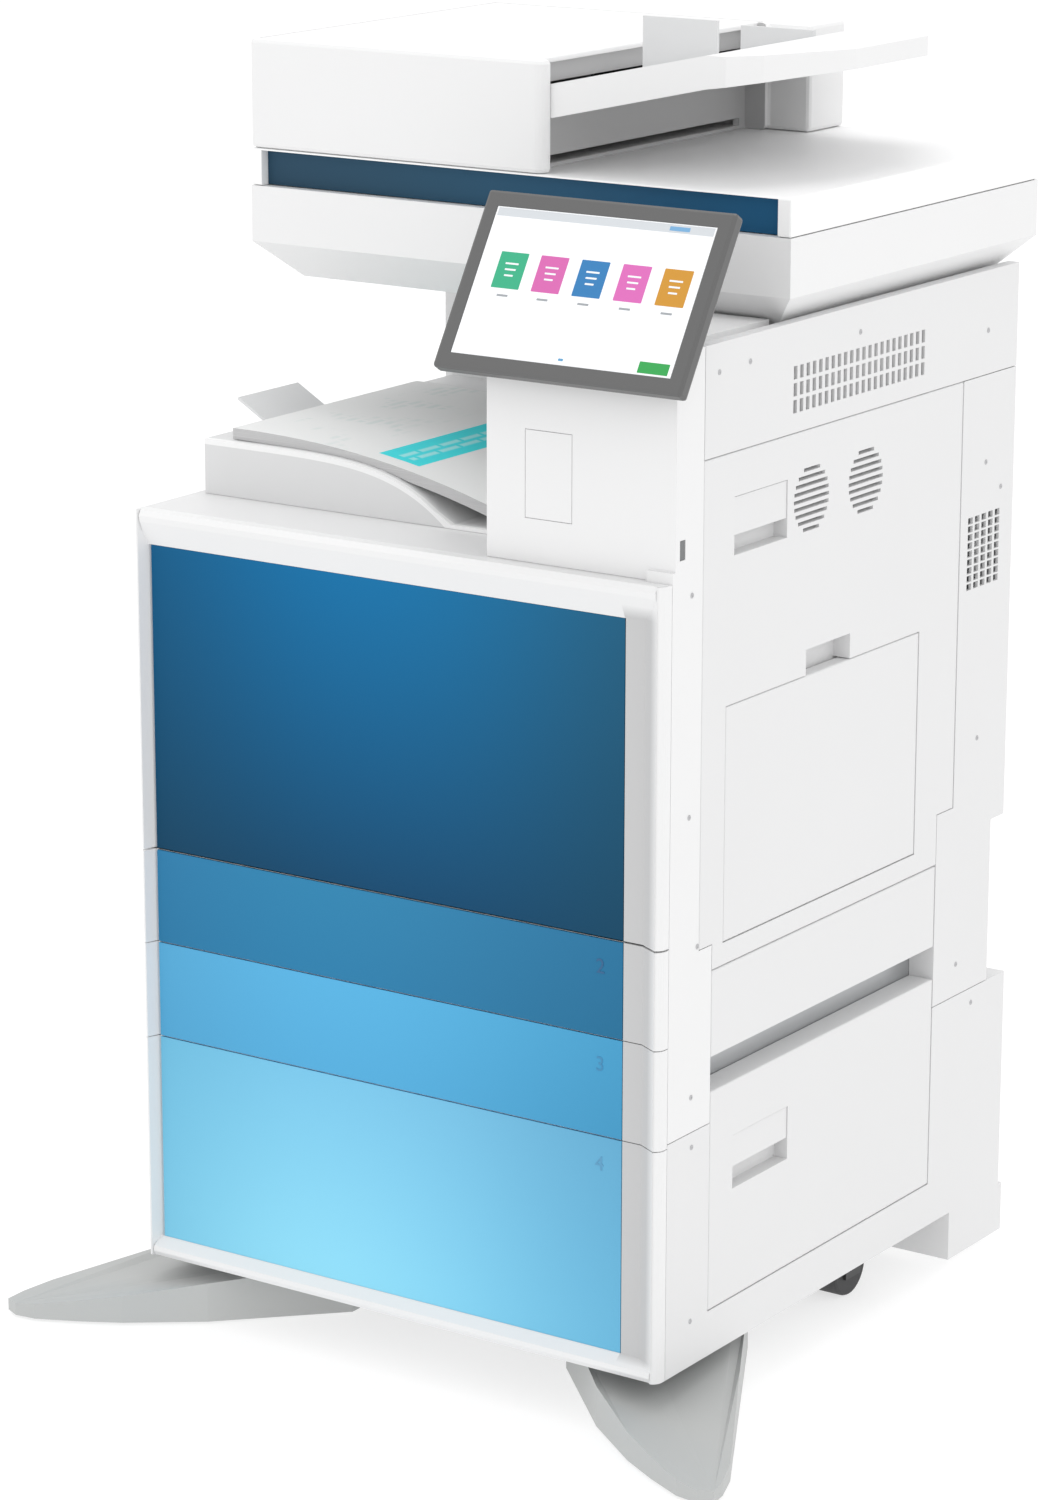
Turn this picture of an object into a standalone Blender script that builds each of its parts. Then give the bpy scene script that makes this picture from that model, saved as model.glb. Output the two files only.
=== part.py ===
"""Floor-standing office photocopier: scanner and document feeder over a printer with four paper trays.

Metres, +Z up, +X to the operator's right, -Y towards the operator. The origin is on the floor,
under the middle of the machine's bounding box.
"""
import math

import bmesh
import bpy
from mathutils import Matrix, Vector

# ---- driving dimensions -------------------------------------------------------------------------
WIDTH = 0.585            # over the side covers
FRONT_Y = -0.282         # front plane of the door and tray fronts
BACK_DEPTH = 0.630       # front plane to the upper rear cover
FLOOR_GAP = 0.060        # floor to the bottom edge of the covers
TRAY_4_TOP = 0.2828      # heights of the seams between the fronts
TRAY_3_TOP = 0.3773
TRAY_2_TOP = 0.4693
DECK_TOP = 0.799         # top of the front door and of the deck under the output tray
COLUMN_TOP = 1.001       # top of the column that carries the control panel
SCANNER_WIDTH = 0.5972
SCANNER_FRONT = 0.1945   # depths behind the front plane
SCANNER_BACK = 0.651
SCANNER_BOTTOM = 0.990
SCANNER_CHAMFER = 0.035
LID_SEAM = 1.0786
LID_HEIGHT = 0.0352
FEEDER_HEIGHT = 0.1035   # feeder box above the lid
FEEDER_WIDTH = 0.3336    # feeder box, from the lid's left edge

GAP = 0.0003             # between pieces that rest on each other
SEAM = 0.0009            # between neighbouring covers
WALL = 0.003             # moulded covers
STEEL = 0.004            # chassis walls
SIDE_MODULE = 0.027      # thickness of the doors and covers on the right side
PAST = 0.01              # how far cutters and added blocks run past a face

FRONT_THICKNESS = 0.0147
RECESS = 0.011           # blue panels lie this far behind the front plane
PANEL_THICKNESS = 0.0025
BEAD_LEFT = 0.0088
FLAT_RIGHT = 0.021       # white strip right of the blue panels
SLOPE_RIGHT = 0.019
BEAD_RIGHT = 0.006
CORNER = 0.010
TOP_SLOPE = 0.023
TOP_BEAD = 0.0112
BOTTOM_SLOPE = 0.008
BOTTOM_BEAD = 0.0096

COLUMN_LEFT = 0.0937     # x of the column's left wall
COLUMN_FRONT = 0.020
POST_DEPTH = 0.0645      # rear seam of the post beside the fronts
DOOR_BACK = 0.5265       # rear seam of the right door
DOOR_TOP = 0.900
DOOR_BOTTOM = 0.4310
CABINET_TOP = 0.2868     # seam between cabinet and printer on the side covers
CABINET_DOOR = (0.0875, 0.4945, 0.1043, 0.3155)   # front and rear depth, bottom and top height
LOWER_DOOR = (0.0875, 0.4945, 0.3485, DOOR_BOTTOM - SEAM)

SCREEN_SIZE = (0.2575, 0.1706, 0.014)
SCREEN_BOTTOM = (0.190, -0.018, 0.973)   # middle of the lower front edge: x, depth, height
SCREEN_TILT = math.radians(31.6)

CASTER_X = 0.215         # steered front casters, from the middle
REAR_CASTER_X = 0.227    # fixed rear casters
CASTER_FRONT = 0.150
CASTER_BACK = 0.413
CASTER_TRAIL = 0.012
WHEEL_RADIUS = 0.030
WHEEL_WIDTH = 0.040

# hinge axes lie this far inside an edge, so that its rounded corner clears the seam
HINGE_INSET = 0.002

half = WIDTH / 2
inner_right = half - SIDE_MODULE


def depth(d):
    """World Y of a point this far behind the front plane."""
    return FRONT_Y + d


# ---- scene, materials and primitives ------------------------------------------------------------
for old in list(bpy.data.objects):
    bpy.data.objects.remove(old, do_unlink=True)

copier = bpy.data.collections.new("photocopier")
cutters = bpy.data.collections.new("cutters")
bpy.context.scene.collection.children.link(copier)
bpy.context.scene.collection.children.link(cutters)


def material(name, colour, roughness=0.45, metallic=0.0):
    mat = bpy.data.materials.new(name)
    mat.use_nodes = True
    shader = mat.node_tree.nodes["Principled BSDF"]
    shader.inputs["Base Color"].default_value = (*colour, 1.0)
    shader.inputs["Roughness"].default_value = roughness
    shader.inputs["Metallic"].default_value = metallic
    return mat


white = material("white_plastic", (0.84, 0.84, 0.84))
light_grey = material("light_grey_plastic", (0.55, 0.55, 0.55))
dark = material("dark_plastic", (0.05, 0.05, 0.055), 0.5)
bezel_grey = material("bezel_plastic", (0.11, 0.11, 0.11), 0.4)
glass = material("glass", (0.75, 0.8, 0.8), 0.08)
display = material("display", (0.9, 0.9, 0.92), 0.2)
steel = material("steel", (0.6, 0.6, 0.6), 0.35, 0.9)
rubber = material("rubber", (0.03, 0.03, 0.03), 0.7)
paper = material("paper", (0.88, 0.88, 0.86), 0.8)
door_blue = material("door_blue", (0.012, 0.10, 0.22), 0.35)
tray_blues = {2: material("tray_2_blue", (0.04, 0.20, 0.38), 0.35),
              3: material("tray_3_blue", (0.10, 0.39, 0.66), 0.35),
              4: material("tray_4_blue", (0.22, 0.55, 0.76), 0.35)}
band_blue = material("band_blue", (0.03, 0.09, 0.17), 0.4)


def add_object(name, mesh, mat=None, collection=None):
    obj = bpy.data.objects.new(name, mesh)
    (collection or copier).objects.link(obj)
    if mat:
        mesh.materials.append(mat)
    return obj


def box(name, xs, ds, zs, mat=None, collection=None):
    """Box between two X values, two depths and two heights, with its origin at its middle."""
    lo = Vector((xs[0], depth(ds[0]), zs[0]))
    hi = Vector((xs[1], depth(ds[1]), zs[1]))
    bm = bmesh.new()
    bmesh.ops.create_cube(bm, size=1.0, matrix=Matrix.Diagonal((*(hi - lo), 1.0)))
    mesh = bpy.data.meshes.new(name)
    bm.to_mesh(mesh)
    bm.free()
    obj = add_object(name, mesh, mat, collection)
    obj.location = (lo + hi) / 2
    return obj


def cylinder(name, radius, start, end, mat=None, collection=None, sides=32, end_radius=None):
    """Cylinder or cone between two world points, with its origin halfway."""
    start, end = Vector(start), Vector(end)
    bm = bmesh.new()
    bmesh.ops.create_cone(bm, cap_ends=True, segments=sides, radius1=radius,
                          radius2=end_radius or radius, depth=(end - start).length)
    turn = Vector((0, 0, 1)).rotation_difference(end - start).to_matrix().to_4x4()
    bmesh.ops.transform(bm, matrix=turn, verts=bm.verts)
    mesh = bpy.data.meshes.new(name)
    bm.to_mesh(mesh)
    bm.free()
    mesh.shade_smooth()
    mesh.set_sharp_from_angle(angle=math.radians(40))
    obj = add_object(name, mesh, mat, collection)
    obj.location = (start + end) / 2
    return obj


def extrude_outline(name, points, axis, start, end, mat=None, collection=None):
    """Prism of an outline. points are (x, d) for axis Z, (x, z) for axis Y, (d, z) for axis X."""
    place = {"Z": lambda a, b, c: (a, depth(b), c),
             "Y": lambda a, b, c: (a, depth(c), b),
             "X": lambda a, b, c: (c, depth(a), b)}[axis]
    bm = bmesh.new()
    face = bm.faces.new([bm.verts.new(place(a, b, start)) for a, b in points])
    step = Vector(place(0, 0, end)) - Vector(place(0, 0, start))
    grown = bmesh.ops.extrude_face_region(bm, geom=[face])
    moved = [v for v in grown["geom"] if isinstance(v, bmesh.types.BMVert)]
    bmesh.ops.translate(bm, vec=step, verts=moved)
    bmesh.ops.recalc_face_normals(bm, faces=bm.faces)
    mesh = bpy.data.meshes.new(name)
    bm.to_mesh(mesh)
    bm.free()
    return add_object(name, mesh, mat, collection)


def arc(cx, cy, radius, start_deg, end_deg, steps=5):
    """Points on an arc, for rounding an outline."""
    angles = [math.radians(start_deg + (end_deg - start_deg) * i / steps) for i in range(steps + 1)]
    return [(cx + radius * math.cos(a), cy + radius * math.sin(a)) for a in angles]


def bevel(obj, width, segments=2, angle=50):
    mod = obj.modifiers.new("rounding", "BEVEL")
    mod.width = width
    mod.segments = segments
    mod.limit_method = "ANGLE"
    mod.angle_limit = math.radians(angle)
    return obj


def as_cutter(obj):
    obj.hide_render = True
    obj.display_type = "WIRE"
    return obj


def boolean(obj, other, operation="DIFFERENCE"):
    mod = obj.modifiers.new(operation.lower(), "BOOLEAN")
    mod.operation = operation
    mod.object = as_cutter(other)
    return obj


def cut_box(obj, xs, ds, zs, name=None):
    return boolean(obj, box(name or obj.name + "_cut", xs, ds, zs, collection=cutters))


def cut_boxes(obj, boxes, name=None):
    """Cut several boxes that stay clear of each other in one Boolean."""
    bm = bmesh.new()
    for xs, ds, zs in boxes:
        lo = Vector((xs[0], depth(ds[0]), zs[0]))
        hi = Vector((xs[1], depth(ds[1]), zs[1]))
        place = Matrix.Translation((lo + hi) / 2) @ Matrix.Diagonal((*(hi - lo), 1.0))
        bmesh.ops.create_cube(bm, size=1.0, matrix=place)
    mesh = bpy.data.meshes.new(name or obj.name + "_cuts")
    bm.to_mesh(mesh)
    bm.free()
    return boolean(obj, add_object(mesh.name, mesh, collection=cutters))


def add_box(obj, xs, ds, zs):
    return boolean(obj, box(obj.name + "_part", xs, ds, zs, collection=cutters), "UNION")


def pivot(name, point, pieces):
    """Put an empty on a joint's axis and hang the pieces of the moving body on it."""
    empty = bpy.data.objects.new(name + "_pivot", None)
    copier.objects.link(empty)
    empty.location = point
    for piece in pieces:
        piece.location = piece.location - Vector(point)
        piece.parent = empty
    return empty


# ---- chassis ------------------------------------------------------------------------------------
chassis_left = -half + WALL + GAP
chassis_right = inner_right - GAP
chassis_front = FRONT_THICKNESS + 0.009
chassis_back = BACK_DEPTH - 0.026
chassis_bottom = FLOOR_GAP + 0.015
chassis_top = DECK_TOP - 2 * WALL
shelf = 0.003            # steel shelf above each tray
cell_left = chassis_left + STEEL
cell_right = chassis_right - STEEL
cell_back = chassis_back - STEEL
cells = {4: (chassis_bottom + STEEL, TRAY_4_TOP - shelf),
         3: (TRAY_4_TOP, TRAY_3_TOP - shelf),
         2: (TRAY_3_TOP, TRAY_2_TOP - shelf)}
bay_bottom = TRAY_2_TOP
bay_top = chassis_top - STEEL
duct_depths = (0.110, 0.480)   # opening behind the right door, where paper crosses


def make_chassis():
    frame = box("chassis", (chassis_left, chassis_right), (chassis_front, chassis_back),
                (chassis_bottom, chassis_top), steel)
    hollows = [((cell_left, cell_right), (chassis_front - PAST, cell_back), z) for z in cells.values()]
    hollows.append(((cell_left, cell_right), (chassis_front - PAST, cell_back), (bay_bottom, bay_top)))
    cut_boxes(frame, hollows)
    cut_box(frame, (cell_right - PAST, chassis_right + PAST), duct_depths, (bay_bottom + 0.03, 0.760),
            "duct_cut")
    return frame


chassis = make_chassis()


# ---- door and tray fronts -----------------------------------------------------------------------
panel_left = -half + BEAD_LEFT
panel_right = half - FLAT_RIGHT - SLOPE_RIGHT - BEAD_RIGHT
panel_seat = RECESS + PANEL_THICKNESS + GAP


def recess_outline():
    """Section of the fronts, seen from above: bead, recess, flat strip, slope and rounded corner."""
    outline = [(-half, FRONT_THICKNESS)]
    outline += arc(-half + 0.004, 0.004, 0.004, 180, 270, 4)
    outline += [(panel_left, panel_seat), (panel_right + SEAM, panel_seat),
                (panel_right + SEAM, RECESS), (panel_right + FLAT_RIGHT, RECESS),
                (panel_right + FLAT_RIGHT + SLOPE_RIGHT, 0.0005)]
    outline += arc(half - CORNER, CORNER, CORNER, 290, 360, 5)
    outline += [(half, FRONT_THICKNESS)]
    return outline


def rim_filler(name, z0, z1, slope_z):
    """Rim along the door's top or tray 4's bottom, from the recess forward to the front plane."""
    left, right = -half + 0.006, panel_right + FLAT_RIGHT + SLOPE_RIGHT * 0.9
    profile = [(panel_seat + 0.0005, z0), (RECESS, z0), (0.0008, slope_z), (0, z1 + (slope_z - z1) * 0.5),
               (0.003, z1), (panel_seat + 0.0005, z1)]
    return extrude_outline(name, profile, "X", left, right, collection=cutters)


def make_front(name, z0, z1, mat, rim=None):
    """White moulded front with a backing tub behind the recess."""
    front = extrude_outline(name, recess_outline(), "Z", z0, z1, white)
    if rim == "top":
        boolean(front, rim_filler(name + "_rim", z1 - TOP_SLOPE - TOP_BEAD, z1, z1 - TOP_BEAD), "UNION")
    if rim == "bottom":
        boolean(front, rim_filler(name + "_rim", z0 + BOTTOM_SLOPE + BOTTOM_BEAD, z0, z0 + BOTTOM_BEAD),
                "UNION")
    inset = 0.016
    add_box(front, (-half + inset, half - SIDE_MODULE - inset), (FRONT_THICKNESS - 0.001, 0.0205),
            (z0 + 0.004, z1 - 0.010))
    low = z0 + (BOTTOM_SLOPE + BOTTOM_BEAD if rim == "bottom" else 0) + GAP
    high = z1 - (TOP_SLOPE + TOP_BEAD if rim == "top" else 0) - GAP
    panel = box(name.replace("_front", "") + "_panel", (panel_left + GAP + 0.002, panel_right),
                (RECESS, RECESS + PANEL_THICKNESS), (low, high), mat)
    return front, panel


door_front, door_panel = make_front("front_door_front", TRAY_2_TOP + SEAM, DECK_TOP, door_blue, "top")
door_front.name = "front_door"
door_panel.name = "front_door_panel"
door_inset = 0.003
pivot("front_door", (0, depth(door_inset), TRAY_2_TOP + SEAM + door_inset), [door_front, door_panel])


# ---- paper trays --------------------------------------------------------------------------------
def make_tray(number, z0, z1, rim=None):
    """A drawer: white front with its blue panel, and a bin that slides on the chassis shelf."""
    front, panel = make_front("tray_%d_front" % number, z0, z1, tray_blues[number], rim)
    low, high = cells[number]
    xs = (cell_left + 0.002, cell_right - 0.002)
    ds = (0.0205 + GAP, cell_back - 0.012)
    zs = (low + GAP, high - 0.010)
    tray_bin = box("tray_%d_bin" % number, xs, ds, zs, light_grey)
    wall = 0.004
    cut_box(tray_bin, (xs[0] + wall, xs[1] - wall), (ds[0] + wall, ds[1] - wall),
            (zs[0] + wall, zs[1] + PAST))
    panel.name = "tray_%d_panel" % number
    pivot("tray_%d" % number, (0, depth(0), (z0 + z1) / 2), [front, panel, tray_bin])


make_tray(4, FLOOR_GAP, TRAY_4_TOP - SEAM, "bottom")
make_tray(3, TRAY_4_TOP, TRAY_3_TOP - SEAM)
make_tray(2, TRAY_3_TOP, TRAY_2_TOP - SEAM)


# ---- left, rear and top covers ------------------------------------------------------------------
cabinet_back = BACK_DEPTH + 0.011
cover_front = FRONT_THICKNESS + 0.0006
waist_back = chassis_back + GAP + WALL      # the covers step in behind trays 2 and 3
foot_size = (0.085, 0.108, 0.050)
foot_back = cabinet_back + 0.007


def side_outline(front, top):
    """Side view of the rear edge: cabinet, waist and printer."""
    return [(front, FLOOR_GAP), (cabinet_back, FLOOR_GAP), (cabinet_back, 0.310), (waist_back, 0.335),
            (waist_back, 0.430), (BACK_DEPTH, 0.452), (BACK_DEPTH, top), (front, top)]


def add_foot(cover, outer, inward):
    """Block under the rear corner that stops the machine tipping back."""
    top = FLOOR_GAP - GAP
    ds = (foot_back - foot_size[1], foot_back)
    add_box(cover, sorted((outer, outer + inward * foot_size[0])), ds, (top - foot_size[2], top))
    add_box(cover, sorted((outer, outer + inward * WALL)), (ds[0], cabinet_back - WALL),
            (top - WALL, top + WALL))


left_cover = extrude_outline("left_cover", side_outline(cover_front, chassis_top), "X",
                             -half, -half + WALL, white)
add_foot(left_cover, -half, 1)

scanner_rest = SCANNER_BOTTOM - GAP
rear_xs = (-half + WALL + GAP, inner_right - SEAM)
rear_cover = extrude_outline("rear_cover", side_outline(chassis_back + GAP, scanner_rest - 0.005), "X",
                             *rear_xs, white)
rear_inside = (rear_xs[0] + WALL, rear_xs[1] - WALL)
cut_boxes(rear_cover, [
    (rear_inside, (chassis_back - PAST, cabinet_back - WALL), (FLOOR_GAP + WALL, 0.305)),
    (rear_inside, (chassis_back - PAST, BACK_DEPTH - WALL), (0.460, scanner_rest - 0.005 - WALL))])

deck = box("deck", (-half, inner_right - GAP), (cover_front, chassis_back),
           (chassis_top + GAP, DECK_TOP), white)
bevel(deck, 0.001)


# ---- column, right-hand covers ------------------------------------------------------------------
right_xs = (inner_right, half)
column_back = SCANNER_FRONT + 0.020
strip_back = 0.0863


def make_column_cover():
    cover = box("column_cover", (COLUMN_LEFT, half), (COLUMN_FRONT, POST_DEPTH),
                (DECK_TOP + GAP, COLUMN_TOP), white)
    add_box(cover, (COLUMN_LEFT, inner_right - GAP), (POST_DEPTH - PAST, column_back),
            (DECK_TOP + GAP, COLUMN_TOP))
    add_box(cover, right_xs, (cover_front, POST_DEPTH), (CABINET_TOP, DECK_TOP + PAST))
    add_box(cover, right_xs, (POST_DEPTH - PAST, strip_back), (CABINET_TOP, DOOR_BOTTOM + 0.024))
    hollow_top = COLUMN_TOP - WALL
    cut_box(cover, (COLUMN_LEFT + WALL, half - WALL), (COLUMN_FRONT + WALL, POST_DEPTH - WALL),
            (DECK_TOP - 0.001, hollow_top), "column_hollow")
    cut_box(cover, (COLUMN_LEFT + WALL, inner_right - GAP - WALL), (POST_DEPTH - PAST, column_back + PAST),
            (DECK_TOP - 0.001, hollow_top), "column_back_hollow")
    cut_box(cover, (inner_right - PAST, half - WALL), (cover_front + WALL, POST_DEPTH - WALL),
            (CABINET_TOP + WALL, DECK_TOP - 2 * WALL), "post_hollow")
    return cover


column_cover = make_column_cover()
plate_xs, plate_zs = (0.1345, 0.1845), (0.839, 0.919)
cut_box(column_cover, plate_xs, (COLUMN_FRONT - PAST, COLUMN_FRONT + 0.0018), plate_zs, "plate_seat")
box("column_plate", (plate_xs[0] + GAP * 2, plate_xs[1] - GAP * 2), (COLUMN_FRONT, COLUMN_FRONT + 0.0015),
    (plate_zs[0] + GAP * 2, plate_zs[1] - GAP * 2), white)

button_ds, button_zs = (0.027, 0.035), (0.8185, 0.8355)
button_clear = 0.0005
cut_box(column_cover, (half - PAST, half + PAST), (button_ds[0] - button_clear, button_ds[1] + button_clear),
        (button_zs[0] - button_clear, button_zs[1] + button_clear), "button_hole")
button = box("power_button", (half - 0.006, half - 0.0006), button_ds, button_zs, dark)
pivot("power_button", (half, depth(sum(button_ds) / 2), sum(button_zs) / 2), [button])

upper_front = POST_DEPTH + SEAM
vent_ds, vent_zs = (0.211, 0.452), (0.917, 0.963)
upper_outline = [(inner_right, DOOR_TOP + SEAM), (half, DOOR_TOP + SEAM), (half, COLUMN_TOP),
                 (half - 0.012, COLUMN_TOP), (inner_right, COLUMN_TOP - 0.018)]
upper_cover = extrude_outline("right_upper_cover", upper_outline, "Y", upper_front, BACK_DEPTH, white)
cut_box(upper_cover, (inner_right - PAST, half - WALL), (upper_front + WALL, BACK_DEPTH - WALL),
        (DOOR_TOP + SEAM + WALL, COLUMN_TOP - 0.022), "upper_hollow")


def cut_slots(cover, ds, zs, columns, rows, slot_share=0.55):
    """Cut a grid of upright ventilation slots through a side cover."""
    pitch_d = (ds[1] - ds[0]) / columns
    pitch_z = (zs[1] - zs[0]) / rows
    width, height = pitch_d * slot_share, pitch_z * 0.78
    holes = []
    for i in range(columns):
        for j in range(rows):
            d = ds[0] + (i + 0.5) * pitch_d
            z = zs[0] + (j + 0.5) * pitch_z
            holes.append(((half - 2 * WALL, half + WALL), (d - width / 2, d + width / 2),
                          (z - height / 2, z + height / 2)))
    cut_boxes(cover, holes, cover.name + "_slots")


cut_slots(upper_cover, vent_ds, vent_zs, 22, 3)

rear_side = box("right_rear_cover", right_xs, (DOOR_BACK + SEAM, BACK_DEPTH), (0.452, DOOR_TOP), white)
add_box(rear_side, right_xs, (CABINET_DOOR[1] + SEAM, chassis_back), (CABINET_TOP, DOOR_BOTTOM + 0.050))
cut_box(rear_side, (inner_right - PAST, half - WALL), (DOOR_BACK + SEAM + WALL, BACK_DEPTH - WALL),
        (0.486, DOOR_TOP - WALL), "rear_side_hollow")
cut_box(rear_side, (inner_right - PAST, half - WALL), (CABINET_DOOR[1] + SEAM + WALL, chassis_back - WALL),
        (CABINET_TOP + WALL, 0.480), "waist_hollow")
cut_slots(rear_side, (0.540, 0.606), (0.693, 0.766), 5, 9, 0.7)

cabinet_side = box("cabinet_right_cover", right_xs, (cover_front, cabinet_back),
                   (FLOOR_GAP, CABINET_TOP - SEAM), white)
cut_box(cabinet_side, (inner_right - PAST, half + PAST),
        (CABINET_DOOR[0] - SEAM, CABINET_DOOR[1] + SEAM), (CABINET_DOOR[2] - SEAM, CABINET_TOP + PAST))
add_foot(cabinet_side, half, -1)


# ---- doors on the right side --------------------------------------------------------------------
def side_door(name, ds, zs):
    return bevel(box(name, right_xs, ds, zs, white), 0.0015)


def rear_hinge(name, ds, pieces):
    return pivot(name, (half - HINGE_INSET, depth(ds[1] - HINGE_INSET), 0.5), pieces)


def latch(door, name, ds, zs, grip):
    """Pull latch in a pocket of its door: the flap covers the upper part, fingers go in below."""
    cut_box(door, (half - 0.014, half + PAST), ds, zs, name + "_pocket")
    flap = box(name, (half - 0.0045, half - 0.0010), (ds[0] + 0.0005, ds[1] - 0.0005),
               (zs[0] + grip, zs[1] - 0.0008), white)
    pivot(name, (half - 0.003, depth(sum(ds) / 2), zs[1] - 0.0030), [flap])


door_ds = (POST_DEPTH + SEAM, DOOR_BACK)
right_door = side_door("right_door", door_ds, (DOOR_BOTTOM, DOOR_TOP))
cut_boxes(right_door, [
    ((inner_right - PAST, half + PAST), (door_ds[0] - PAST, strip_back + SEAM),
     (DOOR_BOTTOM - PAST, DOOR_BOTTOM + 0.024 + SEAM)),
    ((inner_right - PAST, half + PAST), (CABINET_DOOR[1], DOOR_BACK + PAST),
     (DOOR_BOTTOM - PAST, DOOR_BOTTOM + 0.050 + SEAM))], "door_steps")
mp_ds, mp_zs = (0.105, 0.452), (0.452, 0.672)
finger = ((0.243, 0.322), 0.024)
mp_depth, mp_thickness = 0.018, 0.0155
cut_box(right_door, (half - mp_depth, half + PAST), mp_ds, mp_zs, "mp_tray_pocket")
cut_box(right_door, (half - mp_depth, half + PAST), finger[0], (mp_zs[1] - 0.001, mp_zs[1] + finger[1]),
        "finger_pocket")
latch(right_door, "right_door_latch", (0.116, 0.206), (0.807, 0.860), 0.018)

vent_radius = 0.031
vent_centres = ((0.248, 0.836), (0.345, 0.836))


def cut_round_vent(door, d, z, slots=9):
    """Cut louvre slots that follow a circle."""
    pitch = 2 * vent_radius / slots
    holes = []
    for i in range(slots):
        dz = (i - (slots - 1) / 2) * pitch
        reach = math.sqrt(vent_radius ** 2 - dz ** 2)
        holes.append(((half - 0.012, half + PAST), (d - reach, d + reach),
                      (z + dz - pitch * 0.25, z + dz + pitch * 0.25)))
    cut_boxes(door, holes, "round_vent")


for vent_d, vent_z in vent_centres:
    cut_round_vent(right_door, vent_d, vent_z)

mp_tray = box("multipurpose_tray", (half - mp_thickness, half), (mp_ds[0] + SEAM, mp_ds[1] - SEAM),
              (mp_zs[0] + SEAM, mp_zs[1] - SEAM), white)
bevel(mp_tray, 0.0015)
cut_box(mp_tray, (half - mp_depth - PAST, half - 0.004), (mp_ds[0] + 0.012, mp_ds[1] - 0.012),
        (mp_zs[0] + 0.020, mp_zs[1] - 0.008), "mp_tray_inside")

rear_hinge("right_door", door_ds, [right_door])
pivot("multipurpose_tray", (half - HINGE_INSET, depth(sum(mp_ds) / 2), mp_zs[0] + SEAM + HINGE_INSET),
      [mp_tray])

lower_door = side_door("lower_right_door", LOWER_DOOR[:2], LOWER_DOOR[2:])
rear_hinge("lower_right_door", LOWER_DOOR[:2], [lower_door])
cabinet_door = side_door("cabinet_door", CABINET_DOOR[:2], CABINET_DOOR[2:])
latch(cabinet_door, "cabinet_door_latch", (0.127, 0.224), (0.211, 0.263), 0.021)
rear_hinge("cabinet_door", CABINET_DOOR[:2], [cabinet_door])


# ---- output area --------------------------------------------------------------------------------
tower_left = 0.120       # inner wall where the printed sheets come out
tower_front = 0.500      # front face of the rear tower
bin_front = 0.095
ramp_left = -half + 0.0105
ramp_drop = 0.0488
ramp_run = 0.279
ramp_top = DECK_TOP + 0.0527


def ramp_height(x):
    """Top of the output tray: level at the left, curving down towards the exit slot."""
    share = min(max((x - ramp_left) / ramp_run, 0.0), 1.0)
    return ramp_top - ramp_drop * share ** 5


def make_tower():
    """L-shaped cover behind and beside the output tray, which carries the scanner."""
    right = (tower_left, inner_right - GAP)
    rear = (-half + WALL + GAP, inner_right - GAP)
    heights = (DECK_TOP + GAP, scanner_rest)
    tower = box("tower_cover", right, (column_back + GAP, chassis_back - GAP), heights, white)
    add_box(tower, rear, (tower_front, chassis_back - GAP), heights)
    inside = (DECK_TOP - PAST, scanner_rest - WALL)
    cut_box(tower, (right[0] + WALL, right[1] - WALL), (column_back + GAP + WALL, chassis_back - GAP - WALL),
            inside, "tower_right_hollow")
    cut_box(tower, (rear[0] + WALL, rear[1] - WALL), (tower_front + WALL, chassis_back - GAP - WALL),
            inside, "tower_rear_hollow")
    cut_box(tower, (tower_left - PAST, tower_left + PAST), (0.235, 0.480), (0.818, 0.850), "exit_slot")
    return tower


make_tower()

ramp_points = [ramp_left + (tower_left - GAP - ramp_left) * i / 24 for i in range(25)]
ramp = [(x, ramp_height(x)) for x in ramp_points]
floor_z = DECK_TOP + GAP
output_tray = extrude_outline("output_tray", ramp + [(ramp[-1][0], floor_z), (ramp[0][0], floor_z)], "Y",
                              bin_front, tower_front - GAP, white)
cut_box(output_tray, (COLUMN_LEFT - GAP, tower_left + PAST), (bin_front - PAST, column_back + 2 * GAP),
        (DECK_TOP - PAST, ramp_top))

stack_left, stack_right = -0.2557, 0.072
stack_front, stack_depth = 0.105, 0.297
stack_thickness = 0.0105


def stack_top(x):
    return ramp_top + 0.0113 - 0.0402 * ((x - stack_left) / 0.294) ** 2.2


stack_points = [stack_left + (stack_right - stack_left) * i / 16 for i in range(17)]
upper = [(x, stack_top(x)) for x in stack_points]
lower = [(x, max(ramp_height(x) + GAP, stack_top(x) - stack_thickness)) for x in reversed(stack_points)]
extrude_outline("printed_sheets", upper + lower, "Y", stack_front, stack_front + stack_depth, paper)

stop_hinge = (-0.2665, ramp_top + 0.0030)
stop_length, stop_thickness, stop_rise = 0.042, 0.0025, math.radians(30)
stop_ds = (0.174, 0.269)
stop = box("paper_stop", (-stop_length, 0), stop_ds, (0, stop_thickness), light_grey)
stop_turn = Matrix.Rotation(stop_rise, 4, "Y")
stop.data.transform(Matrix.Translation((-stop_length / 2, 0, 0)))
stop.data.transform(stop_turn)
stop.location = (stop_hinge[0], stop.location.y, stop_hinge[1])
knuckle = cylinder("stop_knuckle", 0.0027, (stop_hinge[0], depth(stop_ds[0]), stop_hinge[1]),
                   (stop_hinge[0], depth(stop_ds[1]), stop_hinge[1]), collection=cutters, sides=16)
boolean(stop, knuckle, "UNION")
pivot("paper_stop", (stop_hinge[0], depth(sum(stop_ds) / 2), stop_hinge[1]), [stop])


# ---- scanner ------------------------------------------------------------------------------------
scan_half = SCANNER_WIDTH / 2
scan_ds = (SCANNER_FRONT, SCANNER_BACK)
scan_inside_xs = (-scan_half + 0.043, scan_half - 0.043)
scan_inside_ds = (SCANNER_FRONT + 0.030, SCANNER_BACK - 0.030)
scan_floor = LID_SEAM - 0.036
glass_thickness = 0.003


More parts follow.
